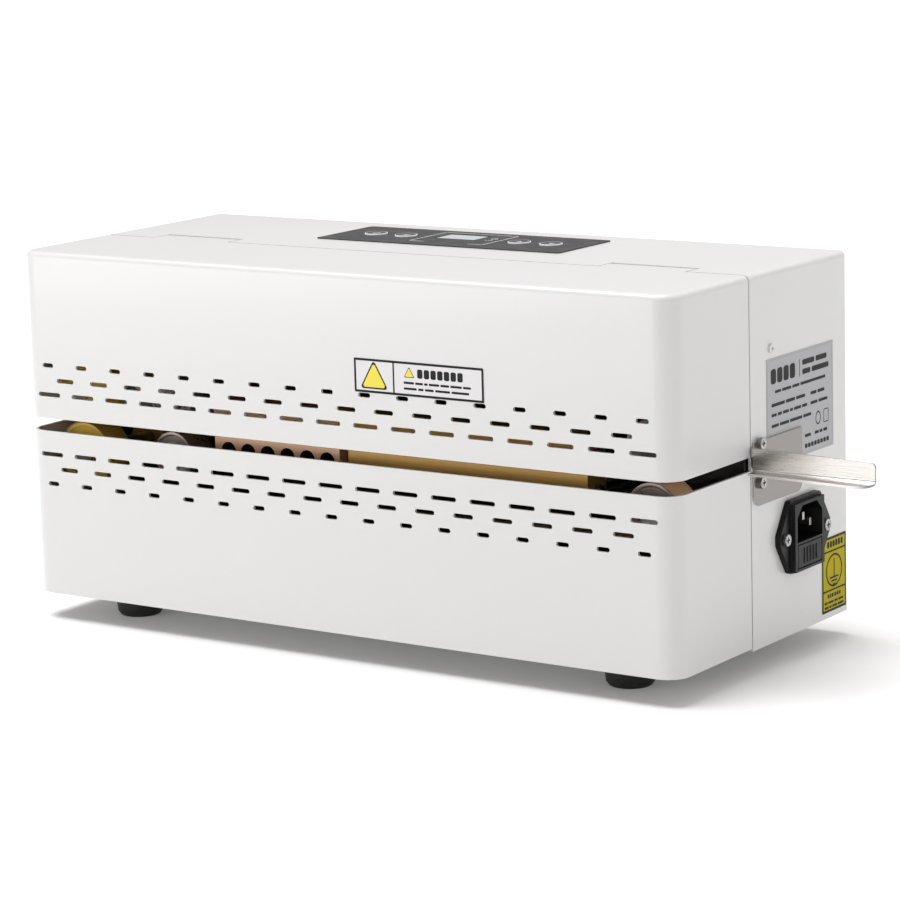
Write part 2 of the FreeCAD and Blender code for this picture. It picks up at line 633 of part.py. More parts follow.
def power_inlet(guide_screws):
    """A flanged inlet: a raised frame with a socket above a fuse drawer's bay, and a body behind."""
    y, z = S["inlet_row"], S["inlet_z"]
    flange = new_body("inlet_flange")
    plan = new_sketch(flange, "inlet_flange_plan", "YZ_Plane", HALF)
    right = [(S["flange_half"], -S["flange_high"]), (S["flange_tip"], -S["tip_half"]),
             (S["flange_tip"], S["tip_half"]), (S["flange_half"], S["flange_high"])]
    polygon(plan, [(y + a, z + b) for a, b in right] + [(y - a, z + b) for a, b in reversed(right)])
    plate = pad(flange, "inlet_flange_pad", plan, S["flange"])
    round_edges(flange, "inlet_flange_corners", plate, Size(2.5, "2.5"),
                lambda middle, way: abs(way.x) > 0.9)
    face = HALF + S["inlet_proud"]
    frame = box("inlet_frame", (HALF, y - S["frame_half"], z - S["frame_low"]),
                (face, y + S["frame_half"], z + S["frame_high"]))
    body = box("inlet_body", (HALF - S["body_depth"], y - S["body_half"], z - S["body_low"]),
               (HALF, y + S["body_half"], z + S["body_high"]))
    socket = new_body("inlet_socket")
    mouth = new_sketch(socket, "inlet_socket_mouth", "YZ_Plane", face)
    half, top, corner = S["socket_half"], S["socket_high"], S["socket_corner"]
    floor, shoulder = z - S["socket_low"], z + top - corner
    polygon(mouth, [(y - half, floor), (y + half, floor), (y + half, shoulder),
                    (y + half - corner, z + top), (y - half + corner, z + top), (y - half, shoulder)])
    pad(socket, "inlet_socket_room", mouth, S["socket_depth"], backwards=True)
    bay = box("inlet_bay", (HALF - 22, y - S["bay_half"], z - S["bay_low"]),
              (face, y + S["bay_half"], z - S["bay_high"]))
    rows = [y + S["inlet_screws"] / 2 * side for side in SIDES]
    holes = [rod(f"inlet_hole_{index}", (HALF - 1, row, z), 1.7, 6, "x") for index, row in enumerate(rows)]
    shell = fuse("inlet_blank", [flange, frame, body])
    sub_part(cut("inlet_set", shell, [socket, bay] + holes), "power_inlet")
    blades = [box(f"blade_{index}", (face - S["socket_depth"], y + a - 1, z + b - 2),
                  (face - 3.5, y + a + 1, z + b + 2))
              for index, (a, b) in enumerate(((-7, 4), (0, 8), (7, 4)))]
    sub_part(group("blade_set", blades), "inlet_blades")
    screws = [button_screw(f"inlet_screw_{index}", (HALF + S["flange"], row, z), S["small_head"],
                           S["small_dome"], 1, 8) for index, row in enumerate(rows)]
    sub_part(group("side_screw_set", guide_screws + screws), "side_screws")
    room = S["drawer_room"]
    drawer = box("drawer_block", (HALF - 14, y - S["bay_half"] + room, z - S["bay_low"] + room),
                 (face, y + S["bay_half"] - room, z - S["bay_high"] - room))
    tray = box("drawer_room", (HALF - 10, y - 10, z - 11.5), (HALF + 2, y + 10, z - S["bay_high"] - room))
    grooves = [box(f"drawer_groove_{index}", (face - 0.6, y + across - 0.6, z - 13.6),
                   (face, y + across + 0.6, z - 6.4)) for index, across in enumerate((-6, -3, 0, 3, 6))]
    sub_part(cut("drawer_set", drawer, [tray] + grooves), "fuse_drawer")
    sub_part(rod("fuse_tube", (HALF - 4, y - 9.9, z - 8.6), 2.5, 19.8, "y"), "fuse")


# ---------------------------------------------------------------- top panel

def panel():
    middle, half = S["panel_middle"], S["panel_width"] / 2
    front, base = S["panel_front"], S["case_height"]
    film = new_body("film")
    plan = new_sketch(film, "film_plan", "XY_Plane", base)
    rectangle(plan, (middle - half, front), (middle + half, front + S["panel_depth"]))
    sheet = pad(film, "film_pad", plan, S["film"])
    sheet = round_edges(film, "film_corners", sheet, Size(2, "2"), lambda middle, way: abs(way.z) > 0.9)
    holes = new_sketch(film, "film_openings", "XY_Plane", FILM_TOP)
    for offset in KEYS.values():
        circle(holes, middle + offset, S["key_row"], S["key"] + S["clearance"])
    low = (S["screen_middle"] - S["screen_width"] / 2, S["screen_row"] - S["screen_depth"] / 2)
    high = (S["screen_middle"] + S["screen_width"] / 2, S["screen_row"] + S["screen_depth"] / 2)
    rectangle(holes, low, high)
    pocket(film, "film_opening", holes, S["film"] * 2)
    sub_part(group("film_set", [film]), "control_panel")
    screen = box("screen_glass", (low[0], low[1], base - 3), (high[0], high[1], FILM_TOP - 0.1))
    sub_part(screen, "display_screen")
    for name, offset in KEYS.items():
        at = (middle + offset, S["key_row"])
        cap = rod(name + "_cap", (*at, base - S["wall"] - 1.2), S["key"],
                  S["wall"] + 1.2 + S["film"] + S["key_proud"], "z")
        flange = rod(name + "_flange", (*at, base - S["wall"] - 1.2), S["key"] + 1, 0.9, "z")
        sub_part(fuse(name + "_key", [cap, flange]), f"key_{name}")
    board_top = base - S["wall"] - 1.2 - S["key_travel"] - 1.6
    board = box("display_board_sheet", (middle - 66, 112, board_top - 1.6), (middle + 66, 142, board_top))
    sub_part(board, "display_board")
    switches = [box(f"switch_{name}", (middle + offset - 3, S["key_row"] - 3, board_top),
                    (middle + offset + 3, S["key_row"] + 3, board_top + 1.3))
                for name, offset in KEYS.items()]
    sub_part(group("switch_set", switches), "key_switches")
    posts = [rod(f"board_post_{index}", (middle + 62 * side, row, board_top), 2.5,
                 base - S["wall"] - board_top, "z")
             for index, (side, row) in enumerate([(side, row) for side in SIDES for row in (115, 139)])]
    return posts


def labels():
    """Plain stickers: one on the front cover, and two on the right side."""
    front = box("front_label_sheet", (17, -S["label"], 122), (92, 0, 138.6))
    sub_part(front, "front_label")
    plate = box("rating_sheet", (HALF, 85.5, 84.8), (HALF + S["label"], 151.5, 136.8))
    under_guide = box("rating_notch", (HALF, 85.5, 84.8),
                      (HALF + S["label"], S["guide_end"] + 0.2, S["guide_top"] + 0.2))
    sub_part(cut("rating_set", plate, [under_guide]), "rating_label")
    earth = box("earth_sheet", (HALF, 139, 1.5), (HALF + S["label"], 163.6, 39.1))
    sub_part(earth, "earth_label")


# ---------------------------------------------------------------- sealing path

def mounting_plate():
    front, back = S["plate_front"], S["plate_front"] + S["plate"]
    plate = box("plate_blank", (-S["plate_half"], front, S["wall"]), (S["plate_half"], back, S["plate_top"]))
    holes = []
    for level in LEVELS:
        holes.append(rod(f"plate_bearing_{level}", (S["drive_at"], front, axle_height("drive", level)),
                         9.5, S["plate"], "y"))
        for kind in ("press", "infeed"):
            holes.append(rod(f"plate_{kind}_{level}", (WHEELS[kind][0], front, axle_height(kind, level)),
                             3, S["plate"], "y"))
    holes.append(rod("plate_fan", (fan_middle(), front, S["seal_line"]), 27, S["plate"], "y"))
    sub_part(cut("plate_set", plate, holes), "mounting_plate")


def wheel_profile(run, bore, hub_front, hub_back):
    """Half section of a belt wheel as (radius, y): a dished front, a hub and a flat rim."""
    radius = run - S["half_seal"] - S["belt"] - S["clearance"]
    front, back, dish = S["belt_front"] - 0.2, BELT_BACK + 0.2, S["wheel_dish"]
    return [
        (bore, hub_front), (bore + 3, hub_front), (bore + 3, front + dish), (radius - 2, front + dish),
        (radius - 1.6, front), (radius, front), (radius, back), (radius - 3, back), (radius - 3, back - 3),
        (bore + 3.5, back - 3), (bore + 3.5, hub_back), (bore, hub_back),
    ]


def wheels():
    """Six belt wheels: driven ones fixed to shafts, press and infeed ones running on axles."""
    hub_front, hub_back = S["belt_front"] - 0.2, BELT_BACK + 2
    for level in LEVELS:
        for kind, (at, run) in WHEELS.items():
            fixed = kind == "drive"
            bore = S["shaft"] + (0 if fixed else S["running"])
            points = wheel_profile(run, bore, hub_front, hub_back)
            wheel = revolved(f"{level}_{kind}", points, (at, 0, axle_height(kind, level)))
            sub_part(wheel, f"{level}_{kind}_wheel")
    for kind in ("press", "infeed"):
        axles = []
        for level in LEVELS:
            at = (WHEELS[kind][0], axle_height(kind, level))
            name = f"{level}_{kind}_axle"
            pieces = [
                rod(name + "_rod", (at[0], hub_front - 2, at[1]), S["shaft"],
                    S["plate_front"] - hub_front + 2, "y"),
                rod(name + "_cap", (at[0], hub_front - 2.6, at[1]), 6, 2.3, "y"),
                rod(name + "_collar", (at[0], hub_back + 0.3, at[1]), 6.5,
                    S["plate_front"] - hub_back - 0.3, "y"),
                rod(name + "_end", (at[0], S["plate_front"], at[1]), 3, S["plate"] + 4, "y"),
            ]
            axles.append(fuse(name, pieces))
        sub_part(group(kind + "_axle_set", axles), kind + "_axles")


def drive_train():
    """Driven shafts in their bearings, the two meshing gears, and the motor's pinion."""
    teeth, pinion_teeth = 29, 16
    bearings = []
    for level in LEVELS:
        at, height = S["drive_at"], axle_height("drive", level)
        back = S["gear_front"] + S["gear_width"]
        pieces = [
            rod(f"{level}_shaft_rod", (at, S["belt_front"] - 3, height), S["shaft"],
                back + 2 - S["belt_front"] + 3, "y"),
            rod(f"{level}_shaft_cap", (at, S["belt_front"] - 3, height), 6, 2.6, "y"),
        ]
        sub_part(fuse(f"{level}_shaft_set", pieces), f"{level}_drive_shaft")
        outer = [
            rod(f"{level}_bearing_ring", (at, S["plate_front"] - 1, height), 9.5, S["plate"] + 3, "y"),
            rod(f"{level}_bearing_flange", (at, S["plate_front"] - 2.5, height), 11, 2.5, "y"),
        ]
        bore = rod(f"{level}_bearing_bore", (at, S["plate_front"] - 3, height),
                   S["shaft"] + S["running"], S["plate"] + 8, "y")
        bearings.append(cut(f"{level}_bearing", fuse(f"{level}_bearing_blank", outer), [bore]))
        turn = 90 if level == "lower" else -90 + 180 / teeth
        gear = spur_gear(f"{level}_gear", teeth, turn, S["shaft"], (at, S["gear_front"], height))
        sub_part(gear, f"{level}_drive_gear")
    sub_part(group("bearing_set", bearings), "drive_bearings")
    away = -60
    x, z = pinion_place(teeth, pinion_teeth, away)
    turn = away + 180 + 180 / pinion_teeth - (90 - away) * teeth / pinion_teeth
    pinion = spur_gear("pinion", pinion_teeth, turn, 2.5, (x, S["gear_front"], z))
    sub_part(pinion, "motor_pinion")
    motor_start = S["gear_front"] + S["gear_width"] + 4
    sub_part(rod("motor_shaft_rod", (x, S["gear_front"], z), 2.5, motor_start - S["gear_front"] - 0.3, "y"),
             "motor_shaft")
    motor = fuse("motor_set", [
        rod("gearbox", (x, motor_start, z), 18.5, 22, "y"),
        rod("motor_can", (x, motor_start + 22, z), 14, 32, "y"),
    ])
    sub_part(motor, "gearmotor")
    bracket = cut("bracket_set", box("bracket_blank", (x - 22, motor_start - 1.5, z - 22),
                                     (x + 22, motor_start, z + 22)),
                  [rod("bracket_hole", (x, motor_start - 2, z), 6, 3, "y")])
    sub_part(bracket, "motor_bracket")
    posts = [rod(f"bracket_post_{index}", (x + 18 * a, PLATE_BACK, z + 18 * b), 3,
                 motor_start - 1.5 - PLATE_BACK, "y")
             for index, (a, b) in enumerate(((-1, -1), (1, -1), (1, 1)))]
    sub_part(group("bracket_post_set", posts), "motor_posts")


def pinion_place(teeth, pinion_teeth, away):
    """Where the pinion's axis is, at an angle away from the lower gear's axis."""
    reach = S["drive_run"] * 2 / teeth * ((teeth + pinion_teeth) / 2)
    angle = math.radians(away)
    return S["drive_at"] + reach * math.cos(angle), axle_height("drive", "lower") + reach * math.sin(angle)


def spur_gear(name, teeth, turn, bore, place):
    """An involute gear about an axis along y, turned so that a tooth points at an angle in the xz plane."""
    builder = fcgear.FCWireBuilder()
    involute.CreateExternalGear(builder, SIZES["gear_module"], teeth, 20, True)
    wire = Part.Wire([curve.toShape() for curve in builder.wire])
    blank = Part.Face(wire).extrude(FreeCAD.Vector(0, 0, SIZES["gear_width"]))
    hole = Part.makeCylinder(number(bore), SIZES["gear_width"])
    shape = blank.cut(hole)
    shape.rotate(FreeCAD.Vector(), AXES["z"], turn)
    shape.rotate(FreeCAD.Vector(), AXES["x"], 90)
    item = doc.addObject("Part::Feature", name)
    item.Shape = shape
    move(item, (place[0], place[1] + S["gear_width"], place[2]))
    return group(name + "_set", [item])


def belt_loop(level):
    """A closed belt round the driven and infeed wheels, with its working run on the sealing line."""
    way = LEVELS[level]
    ends = []
    for kind in ("drive", "infeed"):
        run = number(WHEELS[kind][1] - S["half_seal"])
        ends.append((number(WHEELS[kind][0]), number(axle_height(kind, level)), run))
    (x1, z1, run1), (x2, z2, run2) = ends
    tilt = math.asin((run1 - run2) / math.hypot(x2 - x1, z2 - z1))
    lean = math.atan2((z2 - z1) * way, x2 - x1)
    slope = math.pi / 2 - tilt + lean

    def loop(inset):
        """The belt's outline as a wire, inset from its outer face."""
        def point(x, z, run, angle):
            reach = run - inset
            return FreeCAD.Vector(x + reach * math.cos(angle), 0, z + way * reach * math.sin(angle))
        near, far = -math.pi / 2, slope
        curves = [
            Part.LineSegment(point(x1, z1, run1, near), point(x2, z2, run2, near)),
            Part.Arc(point(x2, z2, run2, near), point(x2, z2, run2, 0), point(x2, z2, run2, far)),
            Part.LineSegment(point(x2, z2, run2, far), point(x1, z1, run1, far)),
            Part.Arc(point(x1, z1, run1, far), point(x1, z1, run1, math.pi), point(x1, z1, run1, near)),
        ]
        return Part.Wire([curve.toShape() for curve in curves])

    width = FreeCAD.Vector(0, SIZES["belt_width"], 0)
    solid = Part.Face(loop(0)).extrude(width).cut(Part.Face(loop(SIZES["belt"])).extrude(width))
    item = doc.addObject("Part::Feature", f"{level}_belt_loop")
    item.Shape = solid
    move(item, (0, S["belt_front"], 0))
    return group(f"{level}_belt_set", [item])


def belts():
    for level in LEVELS:
        sub_part(belt_loop(level), f"{level}_belt")


def blocks():
    """Heated and cooled blocks behind each belt's working run, on posts from the mounting plate."""
    heaters, posts, probes = [], [], []
    face = S["half_seal"] + S["belt"] + 0.05
    front, back = S["belt_front"] - 0.2, BELT_BACK + 0.2
    heat_end = S["heater_start"] + S["heater_length"]
    cool_end = S["cooler_start"] + S["cooler_length"]
    for level, way in LEVELS.items():
        near, far = S["seal_line"] + face * way, S["seal_line"] + (face + S["block_height"]) * way
        low, high = (near, far) if way > 0 else (far, near)
        middle = S["seal_line"] + (face + S["block_height"] / 2) * way
        heat = box(f"{level}_heat_blank", (S["heater_start"], front, low), (heat_end, back, high))
        bore_at = (heat_end - S["cartridge_length"], (front + back) / 2, middle)
        bore = rod(f"{level}_heat_bore", bore_at, S["cartridge"], S["cartridge_length"], "x")
        sub_part(cut(f"{level}_heat_set", heat, [bore]), f"{level}_heating_block")
        heaters.append(rod(f"{level}_cartridge", bore_at, S["cartridge"],
                           S["cartridge_length"] + S["cartridge_stub"], "x"))
        cool = box(f"{level}_cool_blank", (S["cooler_start"], front, low), (cool_end, back, high))
        hole_z = S["seal_line"] + S["cooler_hole_drop"] * way
        columns = [S["cooler_first"] + S["cooler_pitch"] * index for index in range(6)]
        holes = [rod(f"{level}_cool_hole_{index}", (column, front, hole_z), S["cooler_hole"], back - front, "y")
                 for index, column in enumerate(columns)]
        sub_part(cut(f"{level}_cool_set", cool, holes), f"{level}_cooling_block")
        post_z = S["seal_line"] + (face + S["block_height"] - S["post_drop"]) * way
        for start, end in ((S["heater_start"], heat_end), (S["cooler_start"], cool_end)):
            for x in (start + S["post_inset"], end - S["post_inset"]):
                posts.append(rod(f"block_post_{len(posts)}", (x, back, post_z), S["block_post"],
                                 S["plate_front"] - back, "y"))
        probe_at = ((S["heater_start"] + heat_end) / 2, back, middle)
        probes.append(rod(f"{level}_probe", probe_at, S["probe"], S["probe_length"], "y"))
    sub_part(group("cartridge_set", heaters), "cartridge_heaters")
    sub_part(group("block_post_set", posts), "block_posts")
    sub_part(group("probe_set", probes), "thermocouples")


# ---------------------------------------------------------------- behind the mounting plate

def fan_middle():
    return S["cooler_start"] + S["cooler_length"] / 2


def fan():
    x, z, half = fan_middle(), S["seal_line"], S["fan_size"] / 2
    start = PLATE_BACK
    frame = box("fan_blank", (x - half, start, z - half), (x + half, start + S["fan_depth"], z + half))
    through = rod("fan_through", (x, start, z), half - 2, S["fan_depth"], "y")
    bars = [box(f"fan_bar_{name}", (x - wide, start + 11, z - tall), (x + wide, start + 13, z + tall))
            for name, wide, tall in (("level", half - 1, 1.5), ("upright", 1.5, half - 1))]
    boss = rod("fan_boss", (x, start + 10.5, z), 11, 4, "y")
    screw_holes = [rod(f"fan_hole_{a + 1}{b + 1}", (x + 25 * a, start, z + 25 * b), 2.1, S["fan_depth"], "y")
                   for a in SIDES for b in SIDES]
    shell = cut("fan_ring", frame, [through] + screw_holes)
    sub_part(fuse("fan_frame_set", [shell] + bars + [boss]), "fan_frame")
    hub = rod("fan_hub", (x, start + 1, z), 11, 9, "y")
    blades = []
    for index in range(7):
        blade = Part.makeBox(15.5, 1.2, 8.5, FreeCAD.Vector(10, -0.6, -4.25))
        blade.rotate(FreeCAD.Vector(), AXES["x"], 40)
        blade.rotate(FreeCAD.Vector(), AXES["z"], 360 / 7 * index)
        blade.rotate(FreeCAD.Vector(), AXES["x"], 90)
        item = doc.addObject("Part::Feature", f"fan_blade_{index}")
        item.Shape = blade
        move(item, (x, start + 5.5, z))
        blades.append(item)
    sub_part(fuse("fan_rotor_set", [hub] + blades), "fan_rotor")


def electronics(display_posts):
    """The control board with its components, and the posts of both boards."""
    board_low, board_high = (-20, 96, 9), (105, 156, 10.6)
    sub_part(box("board_sheet", board_low, board_high), "control_board")
    posts = [rod(f"control_post_{a}{b}", (x, y, S["wall"]), 2.5, board_low[2] - S["wall"], "z")
             for a, x in enumerate((-15, 100)) for b, y in enumerate((101, 151))]
    sub_part(group("board_post_set", display_posts + posts), "board_posts")
    top = board_high[2]
    parts = [
        box("transformer", (-12, 104, top), (22, 134, top + 26)),
        box("relay_left", (30, 104, top), (49, 119.5, top + 15.5)),
        box("relay_right", (53, 104, top), (72, 119.5, top + 15.5)),
        rod("capacitor_left", (35, 135, top), 6, 20, "z"),
        rod("capacitor_right", (50, 135, top), 6, 20, "z"),
        box("terminal_row", (76, 102, top), (86, 150, top + 11)),
    ]
    sub_part(group("component_set", parts), "board_components")
    fins = [box(f"sink_fin_{index}", (58 + 3.2 * index, 128, top), (59.4 + 3.2 * index, 150, top + 24))
            for index in range(5)]
    base = box("sink_base", (58, 128, top), (72.2, 150, top + 3))
    sub_part(fuse("sink_set", fins + [base]), "heat_sink")


# ---------------------------------------------------------------- build and export

def check(item):
    """Stop if an object failed to recompute."""
    if {"Invalid", "Error"} & set(item.State):
        raise RuntimeError(f"{item.Name} failed: {item.State}")


def export():
    doc.recompute()
    for item in doc.Objects:
        check(item)
    os.makedirs("parts", exist_ok=True)
    for item in sub_parts:
        if item.Shape.isNull() or not item.Shape.isValid() or not item.Shape.Solids:
            raise RuntimeError(f"{item.Label} has no valid solid")
    for item in sub_parts:
        item.Shape.exportStep(f"parts/{item.Label}.step")
        print(f"{item.Label}: {len(item.Shape.Solids)} solids, {item.Shape.Volume / 1000:.1f} cm3")


base_plate()
feet()
rear_housing()
lower_front_cover()
upper_front_cover()
hinge()
housing_screws()
power_inlet(bag_guide())
display_posts = panel()
labels()
mounting_plate()
wheels()
drive_train()
belts()
blocks()
fan()
electronics(display_posts)
export()
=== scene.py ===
"""Looks of a tabletop continuous band sealer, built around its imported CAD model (metres, the CAD's frame)."""
import json
import math

import bmesh
import bpy
from mathutils import Matrix, Vector


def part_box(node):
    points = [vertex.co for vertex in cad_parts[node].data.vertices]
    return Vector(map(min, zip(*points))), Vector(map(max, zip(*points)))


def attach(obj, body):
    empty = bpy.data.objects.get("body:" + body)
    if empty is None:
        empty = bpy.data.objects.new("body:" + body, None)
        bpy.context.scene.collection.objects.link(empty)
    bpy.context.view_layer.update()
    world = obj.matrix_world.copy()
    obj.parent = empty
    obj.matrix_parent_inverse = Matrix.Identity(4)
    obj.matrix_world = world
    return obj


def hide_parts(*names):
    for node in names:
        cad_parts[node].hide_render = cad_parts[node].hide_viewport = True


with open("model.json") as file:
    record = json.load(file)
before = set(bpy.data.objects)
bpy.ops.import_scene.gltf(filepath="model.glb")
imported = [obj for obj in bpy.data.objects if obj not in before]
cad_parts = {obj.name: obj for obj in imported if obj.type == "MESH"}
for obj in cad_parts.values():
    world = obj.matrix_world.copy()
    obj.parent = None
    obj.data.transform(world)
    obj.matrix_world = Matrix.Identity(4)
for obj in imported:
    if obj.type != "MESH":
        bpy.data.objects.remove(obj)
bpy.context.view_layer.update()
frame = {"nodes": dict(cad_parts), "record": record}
nodes = frame["nodes"]
record = frame["record"]
BODY_OF = {node: body for body, members in record["behaviour"]["bodies"].items() for node in members}
SLOT_OF = {part["node"]: part["material_slot"] for part in record["subparts"]}
MM = 0.001


# ---------------------------------------------------------------- materials

class Look:
    """A procedural material: plain numbers on its shader's sockets, and textures that vary them."""

    def __init__(self, name, colour, roughness, metallic=0.0, **sockets):
        self.material = bpy.data.materials.new(name)
        self.material.use_nodes = True
        self.tree = self.material.node_tree
        self.shader = self.tree.nodes["Principled BSDF"]
        self.shader.inputs["Base Color"].default_value = (*colour, 1)
        self.shader.inputs["Roughness"].default_value = roughness
        self.shader.inputs["Metallic"].default_value = metallic
        for socket, value in sockets.items():
            self.shader.inputs[socket.replace("_", " ")].default_value = value
        self.place = self.add("ShaderNodeTexCoord").outputs["Object"]
        self.plain = colour
        self.colour = None
        self.normal = None

    def add(self, kind, **settings):
        node = self.tree.nodes.new(kind)
        for name, value in settings.items():
            setattr(node, name, value)
        return node

    def link(self, start, end):
        self.tree.links.new(start, end)

    def scaled(self, size, stretch=(1, 1, 1)):
        """Object coordinates in features of a size in metres, stretched along the axes."""
        node = self.add("ShaderNodeMapping")
        self.link(self.place, node.inputs["Vector"])
        node.inputs["Scale"].default_value = [1 / (size * times) for times in stretch]
        return node.outputs["Vector"]

    def noise(self, size, stretch=(1, 1, 1), detail=3.0):
        node = self.add("ShaderNodeTexNoise")
        self.link(self.scaled(size, stretch), node.inputs["Vector"])
        node.inputs["Scale"].default_value = 1
        node.inputs["Detail"].default_value = detail
        return node.outputs["Fac"]

    def cells(self, size):
        node = self.add("ShaderNodeTexVoronoi")
        self.link(self.scaled(size), node.inputs["Vector"])
        node.inputs["Scale"].default_value = 1
        return node.outputs["Distance"]

    def waves(self, size, axis):
        node = self.add("ShaderNodeTexWave", wave_type="BANDS", bands_direction=axis)
        self.link(self.scaled(size), node.inputs["Vector"])
        node.inputs["Scale"].default_value = math.pi / 10
        return node.outputs["Fac"]

    def added(self, first, second):
        node = self.add("ShaderNodeMath", operation="ADD")
        self.link(first, node.inputs[0])
        self.link(second, node.inputs[1])
        return node.outputs["Value"]

    def ranged(self, factor, low, high, start=0.3, end=0.7):
        node = self.add("ShaderNodeMapRange")
        self.link(factor, node.inputs["Value"])
        for socket, value in (("From Min", start), ("From Max", end), ("To Min", low), ("To Max", high)):
            node.inputs[socket].default_value = value
        return node.outputs["Result"]

    def paint(self, factor, colour, most=1.0, start=0.3, end=0.7):
        """Mix another colour in where a texture is high."""
        node = self.add("ShaderNodeMix", data_type="RGBA")
        self.link(self.ranged(factor, 0, most, start, end), node.inputs["Factor"])
        if self.colour is None:
            node.inputs["A"].default_value = (*self.plain, 1)
        else:
            self.link(self.colour, node.inputs["A"])
        node.inputs["B"].default_value = (*colour, 1)
        self.colour = node.outputs["Result"]
        self.link(self.colour, self.shader.inputs["Base Color"])
        return self

    def rough(self, factor, low, high, start=0.3, end=0.7):
        self.link(self.ranged(factor, low, high, start, end), self.shader.inputs["Roughness"])
        return self

    def bump(self, height, depth, strength=1.0):
        node = self.add("ShaderNodeBump")
        node.inputs["Strength"].default_value = strength
        node.inputs["Distance"].default_value = depth
        self.link(height, node.inputs["Height"])
        if self.normal is not None:
            self.link(self.normal, node.inputs["Normal"])
        self.normal = node.outputs["Normal"]
        self.link(self.normal, self.shader.inputs["Normal"])
        return self

    def edges(self):
        """High along convex edges, for wear and for a painted highlight: the thin bright line that a rounded
        edge catches.
        """
        return self.add("ShaderNodeNewGeometry").outputs["Pointiness"]


def powder_coat(name, colour):
    """Smooth paint under a thin gloss, with a barely visible orange peel."""
    look = Look(name, colour, 0.3, IOR=1.5, Coat_Weight=0.2, Coat_Roughness=0.12)
    look.paint(look.noise(0.15, detail=1), [part * 0.985 for part in colour], start=0, end=1)
    look.rough(look.noise(0.05, detail=1), 0.28, 0.32, 0, 1)
    look.bump(look.noise(0.0016, detail=1), 0.00002, 0.1)
    return look


def brushed(name, colour, roughness, along, metallic=1.0, size=0.00025):
    """Metal with fine scratches along one axis."""
    stretch = [60 if axis == along else 1 for axis in "xyz"]
    look = Look(name, colour, roughness, metallic)
    scratches = look.noise(size, stretch, detail=4)
    look.paint(scratches, [part * 0.72 for part in colour], 0.7)
    look.paint(look.noise(0.02), [part * 0.85 for part in colour], 0.5)
    look.rough(scratches, roughness * 0.8, roughness * 1.35)
    look.bump(scratches, 0.000012, 0.5)
    return look


def satin_steel(name, colour):
    """Stainless sheet with its rolling marks along x, and painted shade that darkens the faces turned towards
    +x.
    """
    look = brushed(name, colour, 0.26, "x")
    side_shade = look.add("ShaderNodeSeparateXYZ")
    look.link(look.add("ShaderNodeTexCoord").outputs["Normal"], side_shade.inputs["Vector"])
    # Painted shade: faces turned towards +x take a much darker colour, in place of the dimmer light on that
    # side.
    look.paint(side_shade.outputs["X"], [part * 0.33 for part in colour], 1.0, 0.4, 0.9)
    return look


def turned(name, colour, roughness, dark=0.6, metallic=1.0):
    """Machined metal: fine tool marks, a thin, uneven stain, and edges painted brighter, partly as rubbed wear
    and partly as a painted highlight.
    """
    look = Look(name, colour, roughness, metallic)
    marks = look.noise(0.00035, (1, 8, 1), detail=3)
    look.paint(look.noise(0.006), [part * dark for part in colour], 0.8)
    look.paint(marks, [part * 0.8 for part in colour], 0.6)
    # Convex edges painted brighter: partly rubbed wear, partly a painted highlight where a rounded edge catches
    # light.
    look.paint(look.edges(), [min(part * 1.5, 0.95) for part in colour], 0.8, 0.52, 0.58)
    look.rough(look.noise(0.003), roughness * 0.8, roughness * 1.3)
    look.bump(marks, 0.00001, 0.5)
    return look


def moulded(name, colour, roughness, depth=0.00003, light=(0.12, 0.12, 0.12), shine=0.5):
    """Plastic or rubber with a fine moulded grain, and edges painted in a lighter colour: partly rubbed wear,
    partly a painted highlight.
    """
    look = Look(name, colour, roughness, IOR=1.48, Specular_IOR_Level=shine)
    look.paint(look.noise(0.02), [part * 0.75 for part in colour], 0.6)
    # Edges painted in the lighter colour: partly rubbed wear, partly a painted highlight along the rounded
    # edges.
    look.paint(look.edges(), light, 0.35, 0.52, 0.6)
    look.rough(look.noise(0.004), roughness * 0.85, roughness * 1.2)
    look.bump(look.cells(0.0005), depth, 0.35)
    return look


def film(name, colour, roughness, speckle=0.9, **sockets):
    """Printed plastic film or ink: almost flat, with a faint speckle and a very slight waviness."""
    look = Look(name, colour, roughness, **sockets)
    look.paint(look.noise(0.0005, detail=2), [part * speckle for part in colour], 0.8)
    look.rough(look.noise(0.008), roughness * 0.9, roughness * 1.15)
    look.bump(look.noise(0.006), 0.00003, 0.25)
    return look


def woven(name, colour):
    """PTFE coated glass cloth: a fine square weave under a satin coat."""
    look = Look(name, colour, 0.34, Sheen_Weight=0.15, Coat_Weight=0.2, Coat_Roughness=0.25)
    weave = look.added(look.waves(0.0009, "X"), look.waves(0.0009, "Y"))
    look.paint(weave, [part * 0.7 for part in colour], 0.7, 0.5, 1.5)
    look.paint(look.noise(0.015), (0.42, 0.27, 0.14), 0.5, 0.45, 0.75)
    look.bump(weave, 0.00004, 0.5)
    return look


def circuit(name):
    """Solder mask over copper: darker green with lighter tracks and small bright pads."""
    look = Look(name, (0.01, 0.07, 0.03), 0.35, Coat_Weight=0.4, Coat_Roughness=0.15)
    tracks = look.add("ShaderNodeTexBrick", offset=0.37, squash=1.6, squash_frequency=3)
    look.link(look.scaled(0.012), tracks.inputs["Vector"])
    tracks.inputs["Scale"].default_value = 1
    tracks.inputs["Mortar Size"].default_value = 0.035
    look.paint(tracks.outputs["Fac"], (0.03, 0.16, 0.06), 1.0, 0.2, 0.8)
    pads = look.cells(0.006)
    look.paint(pads, (0.55, 0.5, 0.42), 1.0, 0.13, 0.1)
    look.bump(tracks.outputs["Fac"], 0.00003, 0.4)
    return look


def clear(name, colour, roughness):
    """Clear glass with slightly uneven gloss."""
    look = Look(name, colour, roughness, IOR=1.5, Transmission_Weight=0.85)
    look.rough(look.noise(0.004), roughness * 0.8, roughness * 1.4)
    return look


def hole_shade(name):
    """Painted shade for the walls of drilled holes: a near-black colour in place of the shade that falls inside
    them.
    """
    look = Look(name, (0.03, 0.02, 0.014), 0.6)
    look.paint(look.noise(0.002), (0.05, 0.03, 0.02))
    return look


